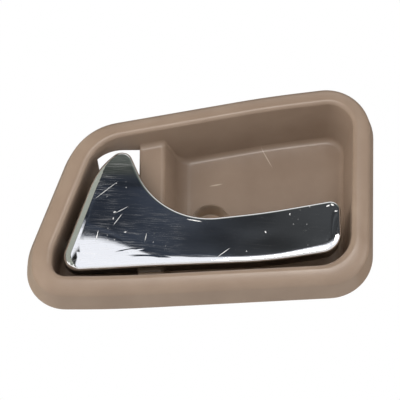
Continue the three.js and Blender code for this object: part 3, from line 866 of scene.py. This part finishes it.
def bezel_plastic():
    """Grained taupe moulding: fine pores, faint mottling, scratched in use, and painted light in its screw
    well.
    """
    n = Nodes("bezel_plastic", "bezel_plastic")
    mottle = n.spread(n.noise(60, 4), 0.15, 0.85)
    base = n.mix(mottle, colour(141, 121, 105), colour(159, 139, 122))
    worn = n.scratches((0, 35, 0), 120, 0.03, 0.3)
    across = n.scratches((0, -12, 20), 90, 0.02, 0.3)
    strokes = n.most(*[n.stroke(*place) for place in CUP_SCRATCHES])
    marks = n.most(n.math("MULTIPLY", worn, 0.35), n.math("MULTIPLY", across, 0.35), strokes)
    base = n.mix(marks, base, colour(196, 180, 162))
    # Painted light: the colour fades to a paler one towards the middle of the screw well, lifting the shade
    # in that deep recess; the real moulding is one colour.
    middle = (WELL["x"] * MM, (CUP_FLOOR_Y + WELL["floor"]) / 2 * MM, WELL["z"] * MM)
    from_well = n.node("ShaderNodeVectorMath", {0: n.place, 1: middle}, operation="DISTANCE")
    painted_light_from, painted_light_to = WELL_PAINTED_LIGHT["fades_by"] * MM, WELL_PAINTED_LIGHT["within"] * MM
    base = n.mix(n.spread(from_well.outputs["Value"], painted_light_from, painted_light_to), base, colour(206, 183, 160))
    grain = n.noise(2600, 2)
    pores = n.spread(n.cells(1500), 0.15, 0.5)
    coarse = n.bump(n.noise(420, 3), 0.05, 0.22)
    fine = n.bump(n.math("ADD", n.math("MULTIPLY", grain, 0.6), pores), 0.02, 0.3, coarse)
    rough = n.spread(n.noise(35, 3), 0.1, 0.9, 0.28, 0.37)
    n.set(Base_Color=base, Roughness=rough, Normal=fine, Specular_IOR_Level=0.5)
    return n


CHROME_SCRATCHES = [  # as CUP_SCRATCHES
    (-42, 2.5, 15, 40, 0.3), (-35, -7, 8, 29, 0.3), (-36.5, -11.5, 8, 55, 0.3),
    (-45.5, -19, 6, 78, 0.45), (-24, -20, 5, 79, 0.25), (-2.5, -12, 8, -10, 0.6),
    (10.5, -27, 8, 36, 0.3), (-38, -8, 1.4, 20, 0.6), (-38.5, -11, 1.2, 80, 0.5),
    (57, -5, 2, 25, 0.9), (59, -4.5, 2, -30, 1.0), (60.5, -7.5, 1.6, 10, 1.0),
    (29, -17.5, 1.4, -61, 0.6), (40, -9, 1.2, 80, 0.5), (-33, -17.5, 1.4, 10, 0.5),
]
CHROME_RIDGES = [(-24, -29.5, 24, -2, 3.0), (-31, -26, 14, 8, 1.6), (-60.5, -32.5, 4, 35, 1.2)]


def chrome():
    """Bright plating over plastic: hairlines from wiping, deeper scratches, and sideways faces painted dark
    as painted shade.
    """
    n = Nodes("chrome", "chrome")
    streaks = n.noise(2400, 3, 0.6, n.stretched((0.035, 1, 1), (0, 4, 0)))
    patches = n.spread(n.noise(45, 3), 0.42, 0.62, 0.15, 1.0)
    left = n.spread(n.along("X"), 0.02, -0.03, 0.12, 1.0)
    hairlines = n.math("MULTIPLY", n.spread(streaks, 0.5, 0.72), n.math("MULTIPLY", patches, left))
    wiped = n.math("MULTIPLY", n.scratches((0, -38, 0), 100, 0.05, 0.2), 0.3)
    specks = n.math("MULTIPLY", n.spread(n.cells(420), 0.0, 0.12, 1, 0), n.spread(n.noise(55, 2), 0.53, 0.58))
    worn = n.spread(n.noise(900, 2), 0.3, 0.55, 0.45, 0.9)
    deep = n.math("MULTIPLY", n.most(*[n.stroke(*place) for place in CHROME_SCRATCHES]), worn)
    marks = n.most(n.math("MULTIPLY", hairlines, 0.26), wiped, specks, deep)
    haze = n.spread(n.noise(30, 4), 0.35, 0.75, 0.03, 0.08)
    waves = n.bump(n.noise(40, 2), 0.30, 0.12)
    ridges = n.bump(n.most(*[n.stroke(*place) for place in CHROME_RIDGES]), 0.05, 1.0, waves)
    brushed = n.bump(streaks, 0.006, 0.5, ridges)
    # Painted shade: faces that turn sideways, such as the skirt, get a dark base colour that stands in for
    # the shadowed gap they reflect.
    across = n.along("Y", n.node("ShaderNodeTexCoord").outputs["Normal"])
    sides = n.spread(across, -0.30, -0.62, 1, 0)
    base = n.mix(sides, (0.90, 0.90, 0.91, 1), (0.13, 0.125, 0.11, 1))
    base = n.mix(marks, base, (0.98, 0.98, 0.98, 1))
    shine = n.math("SUBTRACT", 1.0, n.math("MULTIPLY", marks, 0.85))
    rough = n.math("ADD", haze, n.math("MULTIPLY", marks, 0.5))
    n.set(Base_Color=base, Metallic=shine, Roughness=rough, Normal=n.bump(deep, 0.003, 0.5, brushed))
    return n


def moulded(name, tone, rough, grain=0.015, slot=None):
    """Small moulded or rubber part: slight mottling, fine grain and soft scuffs."""
    n = Nodes(name, slot or name)
    darker = tuple(0.82 * c for c in tone[:3]) + (1.0,)
    lighter = tuple(min(1.0, 1.15 * c) for c in tone[:3]) + (1.0,)
    mottle = n.spread(n.noise(260, 4), 0.35, 0.65)
    scuffs = n.scratches((0, 20, 60), 260, 0.03, 0.25)
    base = n.mix(mottle, darker, tone)
    base = n.mix(n.math("MULTIPLY", scuffs, 0.5), base, lighter)
    normal = n.bump(n.noise(1800, 3), grain, 0.5)
    rough_value = n.spread(n.noise(120), 0.3, 0.7, rough - 0.07, rough + 0.07)
    n.set(Base_Color=base, Roughness=rough_value, Normal=normal)
    return n


def metal(name, tone, rough, turn=(0, 0, 0)):
    """Drawn or plated steel: fine lines along the stock, duller patches and small pits."""
    n = Nodes(name, name)
    lines = n.noise(900, 3, 0.6, n.stretched((0.05, 1, 1), turn))
    stain = n.spread(n.noise(160, 4), 0.45, 0.75)
    base = n.mix(stain, tone, tuple(0.6 * c for c in tone[:3]) + (1.0,))
    pits = n.spread(n.cells(900), 0.0, 0.2, 0, 1)
    normal = n.bump(n.math("ADD", n.math("MULTIPLY", lines, 0.4), pits), 0.01, 0.4)
    rough_value = n.math("ADD", n.spread(stain, 0, 1, rough, rough + 0.2), n.math("MULTIPLY", lines, 0.1))
    n.set(Base_Color=base, Metallic=1.0, Roughness=rough_value, Normal=normal)
    return n


def foam_rubber():
    """Open-cell foam: bubbles of mixed size, their pits darkened with painted shade."""
    n = Nodes("foam", "foam")
    bubbles = n.spread(n.cells(1400), 0.05, 0.5)
    large = n.spread(n.cells(600), 0.0, 0.35)
    # Painted shade: the colour darkens into each bubble's pit, where the bump makes its hollow.
    base = n.mix(bubbles, colour(22, 22, 24), colour(62, 63, 66))
    normal = n.bump(n.math("MULTIPLY", bubbles, large), 0.25, 0.8)
    n.set(Base_Color=base, Roughness=0.95, Normal=normal)
    return n


def finish_with(obj, look):
    obj.data.materials.clear()
    obj.data.materials.append(look.material)
    return obj


def place(obj, body, look, *nodes):
    """Puts a piece on its body with its material, in place of the CAD nodes it stands for."""
    finish_with(obj, look)
    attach(obj, body)
    if nodes:
        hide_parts(*nodes)
    return obj


# ------------------------------------------------------------------ lever's hidden side
def quarter(radius, steps=4):
    """Insets and depths of a small edge radius, from the side to the flat."""
    angles = np.radians(np.linspace(0, 90, steps + 1))
    return [(radius * (1 - math.cos(a)), radius * (1 - math.sin(a))) for a in angles]


def stop_face():
    """Edge of the crank that lies flat on the stop bumper when the lever is fully open."""
    away = PLATEAU_LEFT - GAP - STOP["thick"] - PIVOT.x - 0.1
    c, s = math.cos(LEVER_TRAVEL), math.sin(LEVER_TRAVEL)
    along = [STOP["y"] + side * STOP["head"] - PIVOT.y for side in (-1, 1)]
    return [(PIVOT.x + away * c - a * s, PIVOT.y + away * s + a * c) for a in along]


def lever_carrier():
    """Black carrier behind the cover: plate, two ears for the pin, and the crank for the rod."""
    inset, back = CARRIER["inset"], CARRIER["back"]

    def front(x, z):
        return face_height(x, z) + COVER["front"] + 0.35

    steps = [
        *[(inset + i, lambda x, z, d=d: back - d) for i, d in reversed(quarter(0.5))],
        *[(inset + i, lambda x, z, d=d: front(x, z) + d) for i, d in quarter(0.5)],
    ]
    plate = make_object("lever_carrier_visual", *lever_shape(steps, front, True))
    centre = (PIVOT.x, PIVOT.y, 0)
    boolean(plate, [
        *[round_cutter(2.9, (-13, -3), (x, 0, z), "y") for x, z in COVER_SCREWS],
        round_cutter(5.6, (-32.4, 9), centre, "z", 64),
    ], "DIFFERENCE")

    root = CARRIER["front"] + 0.2
    left, right = PIVOT.x - EAR["r"], PIVOT.x + EAR["r"]
    ear = [*arc(PIVOT.x, PIVOT.y, EAR["r"], 0, 180, 28), (left, root), (right, root)]
    crank = [
        *arc(PIVOT.x, PIVOT.y, EAR["r"], -150, 0, 20), *stop_face(),
        *arc(CRANK_END.x, CRANK_END.y, CRANK["r"], 60, 200, 24),
    ]
    boolean(plate, [
        prism("ear", ear, EAR["upper"], "z", 0.35),
        prism("ear", ear, EAR["lower"], "z", 0.35),
        prism("crank", crank, CRANK["z"], "z", 0.4),
        block("crank_root", (left, right), (root, PIVOT.y), CRANK["z"], 0.35),
    ], "UNION")
    end = (CRANK_END.x, CRANK_END.y, 0)
    boolean(plate, [
        round_cutter(EAR["bore"], (EAR["upper"][0] - 0.5, 9), centre, "z"),
        round_cutter(EAR["bore"], (-30, EAR["lower"][1] + 0.5), centre, "z"),
        round_cutter(PIN_RADIUS + 0.6, (-22, -2), centre, "z"),
        round_cutter(CRANK["bore"], (CRANK["z"][0] - 1, CRANK["z"][1] + 1), end, "z"),
    ], "DIFFERENCE")
    return weighted(shaded(plate))


def cover_screw(name, x, z):
    """Pan-head tapping screw with a cross recess and a thread on its shank."""
    seat = CARRIER["back"] + GAP
    top = seat + 1.7
    thread = []
    for turn in range(6):
        low = seat - 0.25 - 0.45 * turn
        thread += [(1.0, low), (1.25, low - 0.2)]
    head = [(3.6, seat), *[(3.6 - i, top - d) for i, d in quarter(1.1)], (0, top + 0.15)]
    profile = [(0, -8.3), (0.6, -8.3), *reversed(thread), (1.25, seat), *head]
    screw = lathe(name, profile, (x, 0, z), "y", 48)
    slot, wide, deep = 0.42, 1.75, 0.9
    cross = [block("cross", (x - a, x + a), (top - deep, top + 1), (z - b, z + b), 0.06)
             for a, b in ((wide, slot), (slot, wide))]
    boolean(screw, cross, "DIFFERENCE")
    return weighted(shaded(screw, 40))


# ------------------------------------------------------------------ hinge
def pivot_pin():
    """Headed pin with a domed head and a chamfered tip."""
    under = LUG["upper"][1] + GAP
    profile = [
        (0, -32), (1.3, -32), (PIN_RADIUS, -31.3), (PIN_RADIUS, under), (3.1, under), (3.3, under + 0.2),
        (3.3, 6.2), (3.0, 6.55), (2.2, 6.8), (1.1, 6.9), (0, 6.93),
    ]
    return lathe("pivot_pin_visual", profile, PIVOT_AXIS, "z", 56)


def pin_retainer():
    """Push-on star washer: a dished ring whose inner teeth grip the pin."""
    top = LUG["lower"][0] - GAP
    inner = PIN_RADIUS + GAP
    profile = [(inner, top - 1.3), (4, top - 0.8), (4, top), (3.3, top - 0.02), (inner, top - 0.5)]
    ring = lathe("pin_retainer_visual", profile, PIVOT_AXIS, "z", 60)
    slot = [(1.6, -0.3), (3.2, -0.3), (3.2, 0.3), (1.6, 0.3)]
    slots = []
    for k in range(6):
        a = math.radians(60 * k)
        across = Vector((-math.sin(a), math.cos(a)))
        out = Vector((math.cos(a), math.sin(a)))
        centre = Vector((PIVOT.x, PIVOT.y))
        corners = [centre + out * r + across * w for r, w in slot]
        slots.append(prism("slot", [tuple(c) for c in corners], (top - 2, top + 1), "z"))
    return weighted(shaded(boolean(ring, slots, "DIFFERENCE")))


def bush(name, span, flange_up):
    """Flanged plain bush: the sleeve fills the ear, the flange runs against the lug."""
    inner, outer, flange = PIN_RADIUS + GAP, EAR["bore"] - GAP, 4.6
    low, high = span if flange_up else (-span[1], -span[0])
    profile = [
        (inner + 0.2, low), (outer - 0.2, low), (outer, low + 0.2), (outer, high + GAP),
        (flange - 0.1, high + GAP), (flange, high + GAP + 0.1), (flange, high + 0.78),
        (flange - 0.12, high + 0.9), (inner + 0.15, high + 0.9), (inner, high + 0.75), (inner, low + 0.2),
    ]
    if not flange_up:
        profile = [(r, -height) for r, height in reversed(profile)]
    return lathe(name, profile, PIVOT_AXIS, "z", 56)


def smooth_path(points, steps=8):
    """Catmull-Rom curve through a list of points."""
    points = [Vector(p) for p in points]
    padded = [2 * points[0] - points[1], *points, 2 * points[-1] - points[-2]]
    path = []
    for a, b, c, d in zip(padded, padded[1:], padded[2:], padded[3:]):
        for k in range(steps):
            t = k / steps
            path.append(0.5 * (2 * b + (c - a) * t + (2 * a - 5 * b + 4 * c - d) * t ** 2
                               + (3 * b - a - 3 * c + d) * t ** 3))
    return [*path, points[-1]]


def return_spring():
    """Torsion spring round the pin: one leg behind the plateau, the other behind the lever's fin."""
    mean, bottom, top, start, end, steps = 4.2, -13.4, -4.8, -40, -1940, 76
    turns = arc(PIVOT.x, PIVOT.y, mean, start, end, steps)
    coil = [(x, y, bottom + (top - bottom) * k / steps) for k, (x, y) in enumerate(turns)]
    fixed_leg = [(-23.4, 1.3, bottom), (-27, 1.3, bottom), (-30, 0.8, bottom), (-34, -2.2, bottom)]
    moving_leg = [(-45.4, -4.1, top), (-47.2, -4.5, top), (-49.6, -4.5, top)]
    wire = tube("return_spring_visual", smooth_path([*fixed_leg, *coil, *moving_leg], 3), 0.6, 14)
    return wire, Vector((PIVOT.x, PIVOT.y, bottom)), Vector((PIVOT.x, PIVOT.y, top))


# ------------------------------------------------------------------ bumpers, clips, sleeve, pads
def rest_bumper():
    """Rubber button that the closed lever lies on, hooked through the plateau."""
    front, seat, hook = CARRIER["back"] + GAP, PLATEAU_Y - GAP, PLATEAU_Y + WALL + GAP
    head, neck = REST["head"], REST["neck"]
    dome = [(2.0, front + 0.25), (2.7, front + 0.7), (head, front + 1.5)]
    profile = [
        (0, front), (1.0, front + 0.04), *dome, (head, seat - 0.3), (head - 0.3, seat), (neck, seat),
        (neck, hook), (neck + 0.85, hook), (neck + 1, hook + 0.2), (neck + 0.6, hook + 0.9),
        (1.1, hook + 1.8), (0.8, hook + 2), (0, hook + 2),
    ]
    return lathe("rest_bumper_visual", profile, (REST["x"], 0, REST["z"]), "y", 48)


def stop_bumper():
    """Rubber button beside the crank, hooked through the web."""
    seat, hook = PLATEAU_LEFT - GAP, PLATEAU_LEFT + WALL + GAP
    head, neck, thick = STOP["head"], STOP["neck"], STOP["thick"]
    profile = [
        (0, seat - thick), (head - 0.7, seat - thick), (head - 0.2, seat - thick + 0.25),
        (head, seat - thick + 0.7), (head, seat - 0.2), (head - 0.2, seat), (neck, seat), (neck, hook),
        (neck + 0.7, hook), (neck + 0.9, hook + 0.2), (neck + 0.5, hook + 1.1), (neck, hook + 1.5),
        (neck - 0.3, hook + 1.6), (0, hook + 1.6),
    ]
    return lathe("stop_bumper_visual", profile, (0, STOP["y"], STOP["z"]), "x", 48)


def rod_clip():
    """Swivelling nylon clip on the crank's end: pin, retaining head, and a snap saddle for the rod."""
    x, y = CRANK_END.x, CRANK_END.y
    under, over = CRANK["z"][0] - GAP, CRANK["z"][1] + GAP
    pin = CRANK["bore"] - GAP
    profile = [(0, under - 1), (pin, under - 1), (pin, over), (3.1, over), (3.1, over + 0.7),
               (2.7, over + 1.1), (0, over + 1.1)]
    clip = lathe("rod_clip_visual", profile, (x, y, 0), "z", 48)
    base = under - 6.6
    saddle = block("saddle", (x - 4.2, x + 4.2), (y - 3.6, y + 3.6), (base, under), 0.5)
    boolean(clip, [saddle], "UNION")
    mouth = [(y - 1.5, under - 4), (y - 1.5, base + 0.9), (y - 2.3, base - 1), (y + 2.3, base - 1),
             (y + 1.5, base + 0.9), (y + 1.5, under - 4)]
    boolean(clip, [
        round_cutter(2.1, (x - 6, x + 6), (0, y, under - 4), "x"),
        prism("mouth", mouth, (x - 6, x + 6), "x"),
        block("relief", (x - 0.5, x + 0.5), (y - 5, y + 5), (under - 8, under - 3.2)),
    ], "DIFFERENCE")
    return weighted(shaded(clip))


def screw_sleeve():
    """Flanged steel sleeve that keeps the fixing screw from crushing the boss."""
    top = WELL["floor"] - GAP
    outer, inner, flange = BOSS["hole"] - GAP, 2.8, 6.6
    profile = [
        (inner + 0.25, top - 1.2), (flange - 0.3, top - 1.2), (flange, top - 0.9), (flange, top),
        (outer, top), (outer, BOSS["back"] - 0.2), (outer - 0.2, BOSS["back"]), (inner, BOSS["back"]),
        (inner, top - 0.95),
    ]
    return lathe("screw_sleeve_visual", profile, (WELL["x"], 0, WELL["z"]), "y", 72)


def trim_clip(name, corner, distance):
    """Bent steel clip pushed onto a tab, with two tongues that grip the edge of the trim."""
    inner = TAB["thick"] / 2 + GAP
    outer = inner + 0.6
    back = TAB["back"] + GAP
    leg = rounded_line([
        (inner, 1, 0), (inner, back, 0.25), (-inner, back, 0.25), (-inner, 1, 0), (-outer, 1, 0),
        (-outer - 1.5, 3.4, 0.5), (-outer - 1.5, 4.3, 0.4), (-outer, 6.4, 0.6), (-outer, back + 0.6, 0.7),
        (outer, back + 0.6, 0.7), (outer, 6.4, 0.6), (outer + 1.5, 4.3, 0.4), (outer + 1.5, 3.4, 0.5),
        (outer, 1, 0),
    ])
    section = [(TAB["inset"] + across, y) for across, y in leg]
    clip = rim_section(name, corner, distance, section, TAB["width"] - 1.4, 0.12)
    return shaded(clip, 30)


def foam_pad(node):
    """Die-cut anti-rattle pad: slightly crowned, with soft uneven edges."""
    low, high = node_box(node)
    x0, x1, z0, z1, thick = low.x, high.x, low.z, high.z, high.y - low.y
    corners = [(x, z, 2.0, 6, "all") for x, z in ((x0, z0), (x1, z0), (x1, z1), (x0, z1))]
    steps = [(0.25, 0.0), (0.0, 0.3), (0.12, 0.5), (0.0, 0.8), (0.2, 0.93), (0.7, 1.0)]
    rings = []
    for inset, share in steps:
        ring = outline(corners, inset)
        rings.append([(x, low.y + thick * share, z) for x, z in ring])
    pad = loft(node + "_visual", rings)
    work = bmesh.new()
    work.from_mesh(pad.data)
    bmesh.ops.inset_region(work, faces=[f for f in work.faces if len(f.verts) > 4], thickness=1.2 * MM)
    bmesh.ops.triangulate(work, faces=[f for f in work.faces if len(f.verts) > 4])
    work.to_mesh(pad.data)
    work.free()
    for vertex in pad.data.vertices:
        x, y, z = vertex.co / MM
        wobble = noise.noise(Vector((x, y, z)) * 0.6) * 0.08
        inwards = Vector(((low.x + high.x) / 2 - x, 0, (low.z + high.z) / 2 - z)).normalized()
        vertex.co += (inwards * (0.08 + wobble)) * MM
    return shaded(pad, 60)


# ------------------------------------------------------------------ assembly
def assemble():
    """Builds every piece with its material, and puts each one but the return spring on the body that it
    belongs to.
    """
    plastic, plating = bezel_plastic(), chrome()
    nylon = moulded("black_nylon", colour(38, 38, 39), 0.55)
    natural = moulded("natural_nylon", colour(214, 208, 192), 0.45, 0.006)
    rubber = moulded("black_rubber", colour(28, 28, 28), 0.8, 0.02)
    zinc = metal("plated_steel", colour(176, 178, 174), 0.3)
    sprung = metal("spring_steel", colour(104, 103, 104), 0.36)
    foam = foam_rubber()

    place(bezel(), "housing", plastic, "bezel_housing")
    place(lever_cover(), "lever", plating, "lever_cover")
    place(lever_carrier(), "lever", nylon, "lever_carrier")
    for k, (x, z) in enumerate(COVER_SCREWS, 1):
        place(cover_screw(f"cover_screw_{k}_visual", x, z), "lever", zinc, f"cover_screw_{k}")

    place(pivot_pin(), "housing", zinc, "pivot_pin")
    place(pin_retainer(), "housing", sprung, "pin_retainer")
    place(bush("upper_bush_visual", EAR["upper"], True), "lever", natural, "upper_bush")
    place(bush("lower_bush_visual", EAR["lower"], False), "lever", natural, "lower_bush")
    place(rod_clip(), "swivel_clip", natural, "rod_clip")

    place(rest_bumper(), "housing", rubber, "rest_bumper")
    place(stop_bumper(), "housing", rubber, "stop_bumper")
    place(screw_sleeve(), "housing", zinc, "screw_sleeve")
    for k, (corner, distance) in enumerate(TAB_SPOTS, 1):
        place(trim_clip(f"trim_clip_{k}_visual", corner, distance), "housing", sprung, f"trim_clip_{k}")
    for k in (1, 2):
        pad = place(foam_pad(f"foam_pad_{k}"), "housing", foam, f"foam_pad_{k}")

    spring, fixed_end, moving_end = return_spring()
    finish_with(spring, sprung)
    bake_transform(spring)
    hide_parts("return_spring")


assemble()


# ------------------------------------------------------------------ studio
CAMERA = {"lens": 140, "tilt": math.radians(22), "distance": 0.7, "target": (0, -0.007, 0)}
FLOOR = {"half": 900, "z": -400}


def grey(value):
    return value, value, value, 1.0


def room_light(g):
    """White backdrop, even soft light, and for mirrors a room: pale below, dark ahead, bright above."""
    up, right = g.along("Z"), g.along("X")
    cloud = g.spread(g.noise(24, 3, 0.55), 0.35, 0.65, 0.55, 1.6)
    ripple = g.noise(18, 3, 0.6, g.stretched((0.6, 0.6, 2)))
    height = g.math("ADD", up, g.spread(ripple, 0.3, 0.7, -0.025, 0.025))
    ahead = g.mix(g.spread(right, -0.03, 0.05), (0.030, 0.037, 0.052, 1), (0.046, 0.049, 0.052, 1))
    ahead = g.mix(1.0, ahead, cloud, "MULTIPLY")
    above = g.ramp(height, [
        (0.43, grey(0.0)), (0.52, (0.085, 0.095, 0.085, 1)), (0.72, (0.17, 0.19, 0.17, 1)),
        (0.86, grey(0.8)), (1.0, grey(1.0)),
    ])
    room = g.mix(g.spread(height, 0.40, 0.50), ahead, above)
    room = g.mix(g.spread(height, 0.235, 0.19), room, (0.93, 0.95, 1.0, 1))
    room = g.mix(g.spread(g.along("Y"), 0.0, 0.2), room, grey(0.06))
    left_wall = g.ramp(g.spread(right, -1.0, 0.0), [
        (0.0, grey(0.02)), (0.18, grey(0.02)), (0.24, (0.33, 0.35, 0.30, 1)),
        (0.58, (0.36, 0.38, 0.33, 1)), (0.64, grey(0.015)),
    ])
    beside = g.math("MULTIPLY", g.spread(right, -0.16, -0.2), g.spread(up, -0.5, -0.3))
    mirrored = g.node("ShaderNodeBackground", {"Color": g.mix(beside, room, left_wall)})
    soft = g.node("ShaderNodeBackground", {"Color": (1, 0.985, 0.965, 1), "Strength": 0.175})
    backdrop = g.node("ShaderNodeBackground", {"Color": grey(1.0)})
    ray = g.node("ShaderNodeLightPath").outputs
    by_gloss = {0: ray["Is Glossy Ray"], 1: soft.outputs[0], 2: mirrored.outputs[0]}
    inner = g.node("ShaderNodeMixShader", by_gloss)
    by_camera = {0: ray["Is Camera Ray"], 1: inner.outputs[0], 2: backdrop.outputs[0]}
    outer = g.node("ShaderNodeMixShader", by_camera)
    g.node("ShaderNodeOutputWorld", {"Surface": outer.outputs[0]})


def studio():
    """Room, lamps, floor and camera."""
    scene = bpy.context.scene
    scene.view_settings.view_transform = "Standard"
    scene.view_settings.look = "None"

    world = bpy.data.worlds.new("studio")
    scene.world = world
    world.use_nodes = True
    world.node_tree.nodes.clear()
    room_light(Graph(world.node_tree, "Generated"))

    def card(name, at, size, power, seen_in):
        light = bpy.data.lights.new(name, "AREA")
        light.size = size
        light.energy = power
        light.color = (1, 0.98, 0.95)
        obj = bpy.data.objects.new(name, light)
        obj.location = at
        obj.rotation_euler = (-Vector(at)).to_track_quat("-Z", "Y").to_euler()
        obj.visible_camera = False
        obj.visible_glossy = seen_in == "gloss"
        obj.visible_diffuse = seen_in == "colour"
        scene.collection.objects.link(obj)

    # The watts were first fitted to the photo's tones, then rounded and tuned.
    card("front", (0, -1.56, -0.34), 1.0, 7, "colour")
    card("front_left", (-1.0, -1.25, 0), 1.0, 11.5, "colour")
    card("left", (-1.58, -0.24, 0), 1.0, 12.9, "colour")
    card("right", (1.58, -0.24, 0), 1.0, 12, "colour")
    card("top_right", (0.92, -0.92, 0.92), 1.0, 5.5, "colour")
    card("top", (0, -0.31, 1.57), 1.0, 1.8, "colour")
    card("sheen_front", (0.21, -1.49, 0), 0.35, 4.8, "gloss")
    card("sheen_right", (0.62, -1.34, 0.26), 0.3, 2.8, "gloss")

    corners = [(x * FLOOR["half"], y * FLOOR["half"], FLOOR["z"])
               for x, y in ((-1, -1), (1, -1), (1, 1), (-1, 1))]
    floor = make_object("floor", corners, [(0, 1, 2, 3)])
    look = Nodes("floor", "floor")
    look.set(Base_Color=grey(0.9), Roughness=0.9, Emission_Color=grey(1.0), Emission_Strength=0.12)
    floor.data.materials.append(look.material)

    lens = bpy.data.cameras.new("camera")
    lens.lens = CAMERA["lens"]
    lens.sensor_width = 36
    camera = bpy.data.objects.new("camera", lens)
    tilt, target = CAMERA["tilt"], Vector(CAMERA["target"])
    camera.location = target - CAMERA["distance"] * Vector((0, math.cos(tilt), math.sin(tilt)))
    camera.rotation_euler = (target - camera.location).to_track_quat("-Z", "Y").to_euler()
    scene.collection.objects.link(camera)
    scene.camera = camera


studio()
